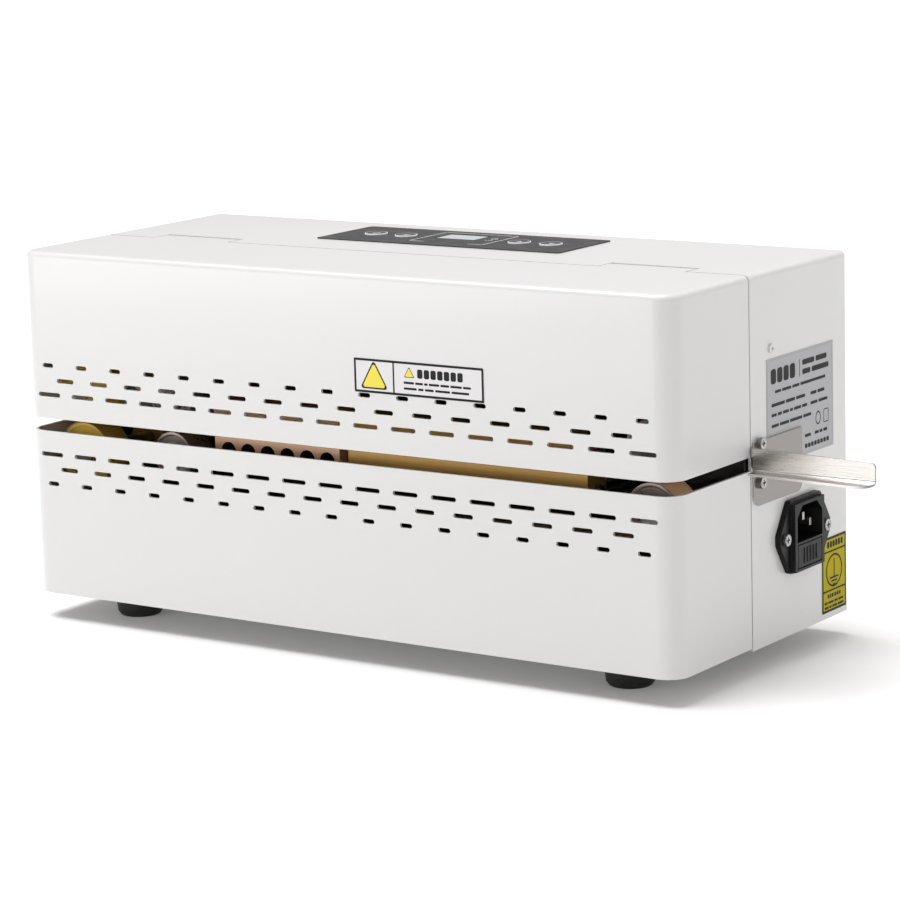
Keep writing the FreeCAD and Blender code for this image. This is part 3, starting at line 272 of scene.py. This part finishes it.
LOOKS = {
    "white_paint": powder_coat("white_paint", (0.60, 0.598, 0.594)),
    "black_plate": powder_coat("black_plate", (0.012, 0.011, 0.011)),
    "steel": satin_steel("steel", (0.74, 0.71, 0.68)),
    "zinc_plate": brushed("zinc_plate", (0.50, 0.50, 0.48), 0.38, "x", size=0.0006),
    "chrome_screw": turned("chrome_screw", (0.30, 0.29, 0.28), 0.3, dark=0.6),
    "brass": brushed("brass", (0.62, 0.37, 0.10), 0.36, "x", metallic=0.4),
    "copper_alloy": turned("copper_alloy", (0.56, 0.35, 0.23), 0.42, dark=0.85, metallic=0.35),
    "drive_rubber": moulded("drive_rubber", (0.98, 0.66, 0.11), 0.2, depth=0.00001, light=(0.97, 0.8, 0.3)),
    "wheel_metal": turned("wheel_metal", (0.50, 0.41, 0.37), 0.3, metallic=0.6),
    "gear_steel": turned("gear_steel", (0.42, 0.41, 0.40), 0.32),
    "belt_tan": woven("belt_tan", (0.86, 0.56, 0.30)),
    "foot_rubber": moulded("foot_rubber", (0.014, 0.013, 0.013), 0.5, light=(0.05,) * 3, shine=0.35),
    "inlet_black": moulded("inlet_black", (0.0045,) * 3, 0.35, light=(0.03,) * 3, shine=0.2),
    "panel_film": film("panel_film", (0.025, 0.024, 0.026), 0.45, speckle=0.6, Specular_IOR_Level=0.35),
    "screen": film("screen", (0.50, 0.56, 0.60), 0.12, speckle=0.97, Coat_Weight=0.6, Coat_Roughness=0.04),
    "key_film": film("key_film", (0.032, 0.031, 0.033), 0.38, speckle=0.7, Specular_IOR_Level=0.4),
    "label_white": film("label_white", (0.62, 0.61, 0.62), 0.3, speckle=0.97),
    "label_silver": film("label_silver", (0.345, 0.345, 0.36), 0.36, speckle=0.94, Metallic=0.2),
    "label_yellow": film("label_yellow", (0.42, 0.35, 0.0), 0.5, speckle=0.95, Specular_IOR_Level=0.08),
    "board_green": circuit("board_green"),
    "part_black": moulded("part_black", (0.018, 0.018, 0.019), 0.42),
    "sink_aluminium": brushed("sink_aluminium", (0.68, 0.68, 0.69), 0.32, "z"),
    "fuse_glass": clear("fuse_glass", (0.9, 0.93, 0.93), 0.04),
    "motor_metal": brushed("motor_metal", (0.45, 0.45, 0.45), 0.3, "y"),
    "ink_black": film("ink_black", (0.007, 0.007, 0.007), 0.5, speckle=0.8, Specular_IOR_Level=0.2),
    "ink_grey": film("ink_grey", (0.30, 0.30, 0.31), 0.4, speckle=0.8),
    "ink_silver": film("ink_silver", (0.72, 0.72, 0.73), 0.28, speckle=0.92),
    "ink_yellow": film("ink_yellow", (0.72, 0.60, 0.03), 0.34, speckle=0.93),
    "relay_blue": moulded("relay_blue", (0.02, 0.10, 0.35), 0.3, light=(0.1, 0.2, 0.5)),
    "core_copper": turned("core_copper", (0.50, 0.22, 0.10), 0.4),
    "terminal_green": moulded("terminal_green", (0.02, 0.22, 0.07), 0.4, light=(0.1, 0.4, 0.2)),
    "painted_hole_shade": hole_shade("painted_hole_shade"),
}


# ---------------------------------------------------------------- helpers for pieces

def placed(name, bm, look, body, slot, *replaced):
    """Make an object of a mesh that is already in place, ride it on a body, and hide the CAD nodes that it
    replaces.
    """
    bmesh.ops.recalc_face_normals(bm, faces=bm.faces)
    mesh = bpy.data.meshes.new(name)
    bm.to_mesh(mesh)
    bm.free()
    stale = mesh.attributes.get("custom_normal")
    if stale:
        mesh.attributes.remove(stale)
    mesh.materials.clear()
    mesh.materials.append(LOOKS[look].material)
    piece = bpy.data.objects.new(name, mesh)
    bpy.context.scene.collection.objects.link(piece)
    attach(piece, body)
    if replaced:
        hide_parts(*replaced)
    return piece


def smooth(piece, sharp_from=None):
    """Shade a piece smooth, apart from edges that turn by more than sharp_from degrees."""
    for polygon in piece.data.polygons:
        polygon.use_smooth = True
    if sharp_from:
        piece.data.set_sharp_from_angle(angle=math.radians(sharp_from))


def rounded(piece, width, segments=2):
    """Round a piece's hard edges by a width in millimetres, keeping its flat faces flat."""
    modifier = piece.modifiers.new("rounded_edges", "BEVEL")
    modifier.limit_method = "ANGLE"
    modifier.angle_limit = math.radians(28)
    modifier.width = width * MM
    modifier.segments = segments
    modifier.harden_normals = True
    modifier.use_clamp_overlap = True
    smooth(piece)


def merged(node):
    """A node's mesh with its doubled points and its flat faces' triangles merged."""
    bm = bmesh.new()
    bm.from_mesh(nodes[node].data)
    bmesh.ops.remove_doubles(bm, verts=bm.verts, dist=0.003 * MM)
    bmesh.ops.dissolve_limit(bm, angle_limit=math.radians(0.4), verts=bm.verts, edges=bm.edges)
    return bm


def refined(node, width):
    """The piece that stands for a CAD node: the same shape, with rounded edges."""
    piece = placed(node + "_piece", merged(node), SLOT_OF[node], BODY_OF[node], SLOT_OF[node], node)
    if width:
        rounded(piece, width, 3 if width >= 0.4 else 2)
    else:
        smooth(piece, 30)
    return piece


def circle_points(x, y, radius, steps=48, start=0.0, end=math.tau):
    """Points of a circle, or of the arc from start to end with both its ends."""
    whole = abs(end - start) >= math.tau
    count = steps if whole else steps + 1
    return [(x + radius * math.cos(start + (end - start) * i / steps),
             y + radius * math.sin(start + (end - start) * i / steps)) for i in range(count)]


def rounded_rectangle(low, high, radius, steps=6):
    (x0, y0), (x1, y1) = low, high
    corners = [(x1 - radius, y1 - radius, 0), (x0 + radius, y1 - radius, 1),
               (x0 + radius, y0 + radius, 2), (x1 - radius, y0 + radius, 3)]
    return [point for x, y, turn in corners
            for point in circle_points(x, y, radius, steps, turn * math.pi / 2, (turn + 1) * math.pi / 2)]


class Print:
    """Flat printed shapes of one colour, in millimetres across and up from a corner of a surface."""

    def __init__(self, name, look, corner, across, up, body, slot, thickness=0.02):
        self.name, self.look, self.body, self.slot, self.thickness = name, look, body, slot, thickness
        out = Vector(across).cross(Vector(up))
        self.frame = Matrix((Vector(across), Vector(up), out)).transposed().to_4x4()
        self.frame.translation = Vector(corner) * MM
        self.bm = bmesh.new()

    def prism(self, loops):
        """Stand a face up: loops is one outline, or an outer and an inner outline with equal counts."""
        rings = [[self.bm.verts.new((x * MM, y * MM, z * MM)) for x, y in loop]
                 for z in (0, self.thickness) for loop in loops]
        count = len(loops[0])
        half = len(loops)
        for index in range(count):
            after = (index + 1) % count
            for side in range(half):
                low, high = rings[side], rings[side + half]
                self.bm.faces.new((low[index], low[after], high[after], high[index]))
            if half == 2:
                for level in (0, half):
                    outer, inner = rings[level], rings[level + 1]
                    self.bm.faces.new((outer[index], outer[after], inner[after], inner[index]))
        if half == 1:
            self.bm.faces.new(rings[0])
            self.bm.faces.new(rings[1])
        return self

    def rectangle(self, x0, y0, x1, y1, radius=0):
        if radius:
            return self.prism([rounded_rectangle((x0, y0), (x1, y1), radius)])
        return self.prism([[(x0, y0), (x1, y0), (x1, y1), (x0, y1)]])

    def border(self, x0, y0, x1, y1, width, radius=0.5):
        inner = max(radius - width, 0.05)
        return self.prism([rounded_rectangle((x0, y0), (x1, y1), radius),
                           rounded_rectangle((x0 + width, y0 + width), (x1 - width, y1 - width), inner)])

    def ring(self, x, y, radius, width, aspect=1.0):
        outer = [(px, y + (py - y) * aspect) for px, py in circle_points(x, y, radius)]
        inner = [(px, y + (py - y) * aspect) for px, py in circle_points(x, y, radius - width)]
        return self.prism([outer, inner])

    def bars(self, x, y, height, lengths, gap=1.0):
        """A row of plain bars that stands where a line of print would be."""
        for length in lengths:
            self.rectangle(x, y, x + length, y + height, min(height, length) * 0.3)
            x += length + gap
        return self

    def stroke(self, points, width):
        """A line of even width through points."""
        sides = ([], [])
        for index, point in enumerate(points):
            before, after = points[max(index - 1, 0)], points[min(index + 1, len(points) - 1)]
            way = Vector((after[0] - before[0], after[1] - before[1])).normalized()
            for side, sign in zip(sides, (1, -1)):
                side.append((point[0] - way.y * width / 2 * sign, point[1] + way.x * width / 2 * sign))
        return self.prism([sides[0] + sides[1][::-1]])

    def done(self):
        bmesh.ops.transform(self.bm, matrix=self.frame, verts=self.bm.verts)
        return placed(self.name, self.bm, self.look, self.body, self.slot)


def lathe(profile, centre, steps=72):
    """Turn a closed outline of (radius, height) points in millimetres about a vertical axis."""
    bm = bmesh.new()
    rings = []
    for step in range(steps):
        turn = math.tau * step / steps
        rings.append([bm.verts.new(((centre[0] + radius * math.cos(turn)) * MM,
                                    (centre[1] + radius * math.sin(turn)) * MM,
                                    (centre[2] + height) * MM)) for radius, height in profile])
    for index, ring in enumerate(rings):
        other = rings[(index + 1) % steps]
        for point in range(len(profile)):
            after = (point + 1) % len(profile)
            bm.faces.new((ring[point], other[point], other[after], ring[after]))
    bmesh.ops.remove_doubles(bm, verts=bm.verts, dist=0.001 * MM)
    return bm


def box_mm(node):
    """A node's two far corners in millimetres."""
    low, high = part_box(node)
    return low / MM, high / MM


# ---------------------------------------------------------------- pieces with the CAD's own shapes

# How far each piece's edges are rounded, in millimetres; 0 leaves the shape as it is.
EDGES = {
    "upper_front_cover": 0.4, "lower_front_cover": 0.4, "rear_housing": 0.4, "base_plate": 0.3,
    "rubber_feet": 0.6, "foot_screws": 0.3, "hinge_brackets": 0.15, "hinge_pins": 0.1,
    "housing_screws": 0.5, "bag_guide": 0.25, "side_screws": 0.45, "power_inlet": 0.45,
    "inlet_blades": 0.3, "fuse_drawer": 0.35, "fuse": 0.3, "control_panel": 0.08,
    "display_screen": 0.1, "display_board": 0.1, "key_switches": 0.3, "board_posts": 0.2,
    "mounting_plate": 0.25, "press_axles": 0.35, "infeed_axles": 0.35, "drive_bearings": 0.3,
    "gearmotor": 1.0, "motor_bracket": 0.3, "motor_posts": 0.3, "lower_belt": 0, "upper_belt": 0,
    "lower_heating_block": 0.3, "upper_heating_block": 0.3, "lower_cooling_block": 0.25,
    "upper_cooling_block": 0.25, "cartridge_heaters": 0.4, "block_posts": 0.3, "thermocouples": 0.3,
    "fan_frame": 0.5, "control_board": 0.1, "heat_sink": 0.15, "lower_drive_wheel": 0.35,
    "upper_drive_wheel": 0.35, "lower_drive_shaft": 0.4, "upper_drive_shaft": 0.4, "lower_drive_gear": 0,
    "upper_drive_gear": 0, "lower_infeed_wheel": 0.35, "upper_infeed_wheel": 0.35,
    "lower_press_wheel": 0.35, "upper_press_wheel": 0.35, "motor_pinion": 0, "motor_shaft": 0.3,
    "fan_rotor": 0.25, "rating_label": 0.05, "earth_label": 0.05,
}
PIECES = {node: refined(node, width) for node, width in EDGES.items()}

# Painted shade: the side walls of the cooling blocks' holes get a near-black look in place of the shade inside
# them.
for node in ("lower_cooling_block", "upper_cooling_block"):
    mesh = PIECES[node].data
    mesh.materials.append(LOOKS["painted_hole_shade"].material)
    low, high = box_mm(node)
    for polygon in mesh.polygons:
        middle = polygon.center / MM
        inside = low.x + 0.5 < middle.x < high.x - 0.5 and low.z + 0.5 < middle.z < high.z - 0.5
        if inside and abs(polygon.normal.y) < 0.5:
            polygon.material_index = 1


# ---------------------------------------------------------------- front label

SUNK = 0.04  # the label's sheet lies this far back, so that its print stays in the CAD's box

low, high = box_mm("front_label")
sheet = bmesh.new()
bmesh.ops.create_cube(sheet, size=1)
for vert in sheet.verts:
    vert.co = Vector([(low[axis] if vert.co[axis] < 0 else high[axis]) for axis in range(3)])
    if vert.co.y < high.y - 0.1:
        vert.co.y += SUNK
    vert.co *= MM
rounded(placed("front_label_piece", sheet, "label_white", "top_cover", "label_white", "front_label"), 0.05)

FRONT = dict(corner=(low.x, low.y + SUNK, low.z), across=(1, 0, 0), up=(0, 0, 1), body="top_cover",
             slot="label_white", thickness=0.025)
wide, tall = high.x - low.x, high.z - low.z
black = Print("front_label_lines", "ink_black", **FRONT)
black.border(0, 0, wide, tall, 1.15, 0.6)
black.rectangle(22.7, 1.0, 23.6, tall - 1.0)
black.bars(37, 9.0, 4.4, [3.1] * 7, 0.75)
black.bars(29, 5.9, 1.1, [6, 4.5, 2, 6, 5, 6.5, 4.5], 0.7)
black.bars(29, 3.1, 1.1, [7.5, 3, 5, 8.5, 10], 0.9)
black.done()
mark = Print("front_label_marks", "ink_yellow", **FRONT)
edge = Print("front_label_mark_edges", "ink_black", **FRONT)


def triangle(x, y, size, radius, steps=5):
    """A triangle with round corners, centred on its base at x."""
    height = size * 0.86
    corners = ((x - size / 2 + radius * 1.7, y + radius, 210), (x + size / 2 - radius * 1.7, y + radius, 330),
               (x, y + height - radius * 2, 90))
    return [point for cx, cy, middle in corners for point in
            circle_points(cx, cy, radius, steps, math.radians(middle - 60), math.radians(middle + 60))]


for x, y, size, rim in ((11.6, 2.0, 16.5, 0.75), (32.3, 9.0, 6.2, 0.35)):
    outer = triangle(x, y, size, size * 0.07)
    centre = Vector((x, y + size * 0.3))
    share = 1 - rim * 3.4 / size
    inner = [tuple(centre + (Vector(point) - centre) * share) for point in outer]
    edge.prism([outer, inner])
    mark.prism([inner])
edge.done()
mark.done()


# ---------------------------------------------------------------- right side labels

low, high = box_mm("rating_label")
SIDE = dict(across=(0, 1, 0), up=(0, 0, 1), body="case", thickness=0.025)
lines = Print("rating_label_lines", "ink_grey", corner=(high.x, low.y, low.z), slot="label_silver", **SIDE)
wide, tall = high.y - low.y, high.z - low.z
guide_end = box_mm("bag_guide")[1]
notch = (guide_end.y - low.y + 0.2, guide_end.z - low.z + 0.2)  # the corner that the guide's plate takes
rim, hair = 0.8, 0.35
lines.rectangle(rim, notch[1] + 1, rim + hair, tall - 2)
lines.rectangle(2, tall - rim - hair, wide - 2, tall - rim)
lines.rectangle(wide - rim - hair, 2, wide - rim, tall - 2)
lines.rectangle(notch[0] + 1, rim, wide - 2, rim + hair)
lines.done()
print_black = Print("rating_label_print", "ink_black", corner=(high.x, low.y, low.z), slot="label_silver",
                    **SIDE)
print_black.rectangle(32.1, tall - 13, 32.6, tall - 4.6)
for left, down, height, lengths, gap in (
        (4, 12.6, 7.2, [5.2] * 4, 1.0),
        (35, 7.8, 2.6, [12, 11], 1.4),
        (35, 12.4, 2.6, [8, 17], 1.4),
        (8, 17.3, 1.4, [6, 9, 7, 25], 1.0),
        (4.5, 23.6, 1.6, [13, 9, 9], 1.0),
        (43, 23.6, 1.6, [6, 7], 1.0),
        (4.5, 28.4, 1.5, [5, 4, 6, 3, 7, 5], 1.0),
        (43, 28.4, 1.5, [7, 9], 1.0),
        (4.5, 33.6, 1.5, [7, 9, 12, 8], 1.0),
        (37, 43.6, 1.5, [6], 1.0),
        (47, 43.6, 1.5, [4, 3, 4], 0.8),
        (37, 49.0, 2.2, [2.6] * 8, 0.5)):
    print_black.bars(left, tall - down, height, lengths, gap)
print_black.ring(50.5, tall - 36, 2.6, 0.6, 1.3)
print_black.border(56, tall - 39.4, 61, tall - 32.6, 0.5, 0.8)
print_black.done()

low, high = box_mm("earth_label")
wide, tall = high.y - low.y, high.z - low.z
earth = Print("earth_label_print", "ink_black", corner=(high.x, low.y, low.z), slot="label_yellow", **SIDE)
earth.border(0, 0, wide, tall, 1.2, 0.6)
for height in (10.2, 29.9):
    earth.rectangle(1.1, height, wide - 1.1, height + 0.9)
earth.ring(wide / 2, 20.3, 8.4, 1.0)
earth.rectangle(wide / 2 - 0.5, 17.2, wide / 2 + 0.5, 26.2)
for height, half in ((16.8, 4.6), (15.0, 3.0), (13.2, 1.4)):
    earth.rectangle(wide / 2 - half, height - 0.45, wide / 2 + half, height + 0.45)
earth.bars(5.2, 32.2, 3.2, [2.2] * 6, 0.6)
earth.bars(5.5, 6.9, 2.0, [1.6, 1.6, 1.6, 0.8, 1.6, 1.6, 1.6], 0.5)
earth.bars(2.4, 4.1, 1.2, [3, 5.5, 3.5, 5], 0.7)
earth.bars(2.4, 1.8, 1.2, [4, 2.4, 5, 6], 0.7)
earth.done()


# ---------------------------------------------------------------- panel prints, screen bezel and keys

low, high = box_mm("control_panel")
PANEL = dict(corner=(low.x, low.y, high.z), across=(1, 0, 0), up=(0, 1, 0), body="case",
             slot="panel_film", thickness=0.03)
screen_low, screen_high = box_mm("display_screen")
screen_low, screen_high = screen_low - low, screen_high - low  # from the panel's corner
frame_lines = Print("panel_lines", "ink_silver", **PANEL)
left, front = screen_low.x - 6.8, screen_low.y - 14.0
right, back = screen_high.x + 14.4, screen_high.y + 5.6
foot, line = 9, 0.6
for x0, y0, x1, y1 in ((left, front, left + foot, front + line), (right - foot, front, right, front + line),
                       (left, front, left + line, back), (right - line, front, right, back),
                       (left, back - line, right, back)):
    frame_lines.rectangle(x0, y0, x1, y1)
icon = (screen_high.x + 7.8, screen_low.y + 7.5)
frame_lines.ring(*icon, 1.8, 0.5)
frame_lines.rectangle(icon[0] - 0.25, icon[1], icon[0] + 0.25, icon[1] + 2.5)
frame_lines.bars(icon[0] - 2.4, icon[1] - 6, 0.7, [1.4, 1.4, 1.4], 0.3)
frame_lines.done()
bezel = Print("screen_bezel", "ink_black", **PANEL)
border = 0.8
bezel.prism([rounded_rectangle((screen_low.x - border, screen_low.y - border),
                               (screen_high.x + border, screen_high.y + border), 0.6),
             rounded_rectangle(screen_low.xy, screen_high.xy, 0.05)])
bezel.done()


def power_icon(art, x, y):
    art.stroke(circle_points(x, y, 1.7, 16, math.radians(125), math.radians(415)), 0.5)
    art.rectangle(x - 0.25, y + 0.3, x + 0.25, y + 2.3)


def heat_icon(art, x, y):
    for offset in (-1.2, 0, 1.2):
        wave = [(x + offset + 0.3 * math.sin(step * 0.9), y - 1.1 + step * 0.4) for step in range(8)]
        art.stroke(wave, 0.45)
    art.rectangle(x - 2, y - 2.1, x + 2, y - 1.6)


def up_icon(art, x, y):
    art.prism([[(x - 1.9, y - 1.1), (x + 1.9, y - 1.1), (x, y + 1.5)]])


def down_icon(art, x, y):
    art.prism([[(x - 1.9, y + 1.2), (x, y - 1.4), (x + 1.9, y + 1.2)]])


ICONS = {"key_left_outer": power_icon, "key_left_inner": heat_icon,
         "key_right_inner": up_icon, "key_right_outer": down_icon}
for key, icon_of in ICONS.items():
    low, high = box_mm(key)
    x, y = (low.x + high.x) / 2, (low.y + high.y) / 2
    flange, cap = (high.x - low.x) / 2, (high.x - low.x) / 2 - 1
    top = high.z - low.z
    side = cap - 0.06
    profile = [(0, 0), (flange, 0), (flange, 0.9), (side, 0.9), (side, top - 0.4), (cap - 0.4, top - 0.06),
               (cap - 0.9, top - 0.06), (cap - 1.3, top - 0.16), (cap * 0.5, top - 0.22), (0, top - 0.24)]
    ring = [(side, top - 1.3), (cap, top - 1.3), (cap, top - 0.3), (cap - 0.1, top - 0.1), (cap - 0.3, top),
            (cap - 0.5, top - 0.02), (cap - 0.5, top - 0.06), (cap - 0.4, top - 0.06), (side, top - 0.4)]
    centre = (x, y, low.z)
    smooth(placed(key + "_piece", lathe(profile, centre), "key_film", key, "key_film", key), 40)
    smooth(placed(key + "_ring", lathe(ring, centre), "ink_silver", key, "key_film"), 40)
    art = Print(key + "_icon", "ink_silver", corner=(x, y, high.z - 0.23), across=(1, 0, 0), up=(0, 1, 0),
                body=key, slot="key_film", thickness=0.03)
    icon_of(art, 0, 0.3)
    art.done()


# ---------------------------------------------------------------- control board's components

def shells(bm):
    """The separate closed shells of a mesh, each as a list of its faces."""
    left, found = set(bm.faces), []
    while left:
        stack, shell = [left.pop()], []
        while stack:
            face = stack.pop()
            shell.append(face)
            for edge in face.edges:
                for other in edge.link_faces:
                    if other in left:
                        left.remove(other)
                        stack.append(other)
        found.append(shell)
    return found


def component_look(shell):
    """The look of one component, told by its width and depth in millimetres."""
    corners = [vert.co / MM for face in shell for vert in face.verts]
    wide, deep = (max(point[axis] for point in corners) - min(point[axis] for point in corners)
                  for axis in range(2))
    if deep > 40:
        return "terminal_green"
    if wide > 30:
        return "core_copper"
    return "relay_blue" if wide > 15 else "part_black"


components = merged("board_components")
choices = ["part_black", "relay_blue", "core_copper", "terminal_green"]
for shell in shells(components):
    index = choices.index(component_look(shell))
    for face in shell:
        face.material_index = index
piece = placed("board_components_piece", components, choices[0], "case", "part_black", "board_components")
for choice in choices[1:]:
    piece.data.materials.append(LOOKS[choice].material)
rounded(piece, 0.5)

# The CAD's own solids take the plain look of their slot.
for node, thing in nodes.items():
    thing.data.materials.clear()
    thing.data.materials.append(LOOKS[SLOT_OF[node]].material)


# ---------------------------------------------------------------- floor, light and camera

def area_light(name, place, target, size, power):
    light = bpy.data.lights.new(name, "AREA")
    light.shape = "RECTANGLE"
    light.size, light.size_y = size
    light.energy = power
    lamp = bpy.data.objects.new(name, light)
    lamp.location = place
    lamp.rotation_euler = (Vector(target) - Vector(place)).to_track_quat("-Z", "Y").to_euler()
    bpy.context.scene.collection.objects.link(lamp)


def sun_light(name, towards, spread, power):
    """Even light from a direction, as soft as a sky patch that many degrees wide."""
    light = bpy.data.lights.new(name, "SUN")
    light.angle = math.radians(spread)
    light.energy = power
    lamp = bpy.data.objects.new(name, light)
    lamp.rotation_euler = Vector(towards).to_track_quat("Z", "Y").to_euler()
    bpy.context.scene.collection.objects.link(lamp)


FLOOR_HALF = 6

floor_mesh = bmesh.new()
bmesh.ops.create_grid(floor_mesh, x_segments=12, y_segments=12, size=FLOOR_HALF)
mesh = bpy.data.meshes.new("floor")
floor_mesh.to_mesh(mesh)
floor_mesh.free()
floor_look = Look("floor", (0.76, 0.76, 0.76), 0.8, Emission_Color=(1, 1, 1, 1), Emission_Strength=0.1)
floor_look.paint(floor_look.noise(0.4), (0.75, 0.75, 0.75))
mesh.materials.append(floor_look.material)
floor = bpy.data.objects.new("floor", mesh)
bpy.context.scene.collection.objects.link(floor)

# The room is white to the camera, and lights the object more from its right and behind than from the left.
BRIGHT_SIDE = (0.8, 0.6, 0)
DIM, BRIGHT = 0.22, 0.92

world = bpy.data.worlds.new("studio")
bpy.context.scene.world = world
world.use_nodes = True
tree = world.node_tree
backdrop = tree.nodes["Background"]
backdrop.inputs["Color"].default_value = (1, 1, 1, 1)
backdrop.inputs["Strength"].default_value = 1.05
ambient = tree.nodes.new("ShaderNodeBackground")
ambient.inputs["Color"].default_value = (1, 0.985, 0.965, 1)
across = tree.nodes.new("ShaderNodeVectorMath")
across.operation = "DOT_PRODUCT"
across.inputs[1].default_value = BRIGHT_SIDE
tree.links.new(tree.nodes.new("ShaderNodeTexCoord").outputs["Generated"], across.inputs[0])
shade = tree.nodes.new("ShaderNodeMapRange")
tree.links.new(across.outputs["Value"], shade.inputs["Value"])
for socket, value in (("From Min", -1), ("From Max", 1), ("To Min", DIM), ("To Max", BRIGHT)):
    shade.inputs[socket].default_value = value
tree.links.new(shade.outputs["Result"], ambient.inputs["Strength"])
mixed = tree.nodes.new("ShaderNodeMixShader")
tree.links.new(tree.nodes.new("ShaderNodeLightPath").outputs["Is Camera Ray"], mixed.inputs["Fac"])
tree.links.new(ambient.outputs["Background"], mixed.inputs[1])
tree.links.new(backdrop.outputs["Background"], mixed.inputs[2])
tree.links.new(mixed.outputs["Shader"], tree.nodes["World Output"].inputs["Surface"])

area_light("key", place=(-0.8, -1.1, 0.22), target=(-0.08, -0.08, 0.1), size=(0.9, 0.35), power=4.6)
sun_light("top", towards=(-0.25, -0.1, 0.96), spread=40, power=3.5)

AZIMUTH, ELEVATION, ROLL = (math.radians(angle) for angle in (34.791, 11.006, -1.644))
DISTANCE = 1.5985
TARGET = Vector((0.03898, -0.0834, 0.11173))
lens = bpy.data.cameras.new("camera")
lens.lens = 135
lens.sensor_width = 36
camera = bpy.data.objects.new("camera", lens)
ahead = Vector((-math.sin(AZIMUTH) * math.cos(ELEVATION), math.cos(AZIMUTH) * math.cos(ELEVATION),
                -math.sin(ELEVATION)))
camera.rotation_mode = "QUATERNION"
camera.rotation_quaternion = (ahead.to_track_quat("-Z", "Y").to_matrix()
                              @ Matrix.Rotation(ROLL, 3, "Z")).to_quaternion()
camera.location = TARGET - ahead * DISTANCE
bpy.context.scene.collection.objects.link(camera)
bpy.context.scene.camera = camera
bpy.context.scene.view_settings.view_transform = "Standard"
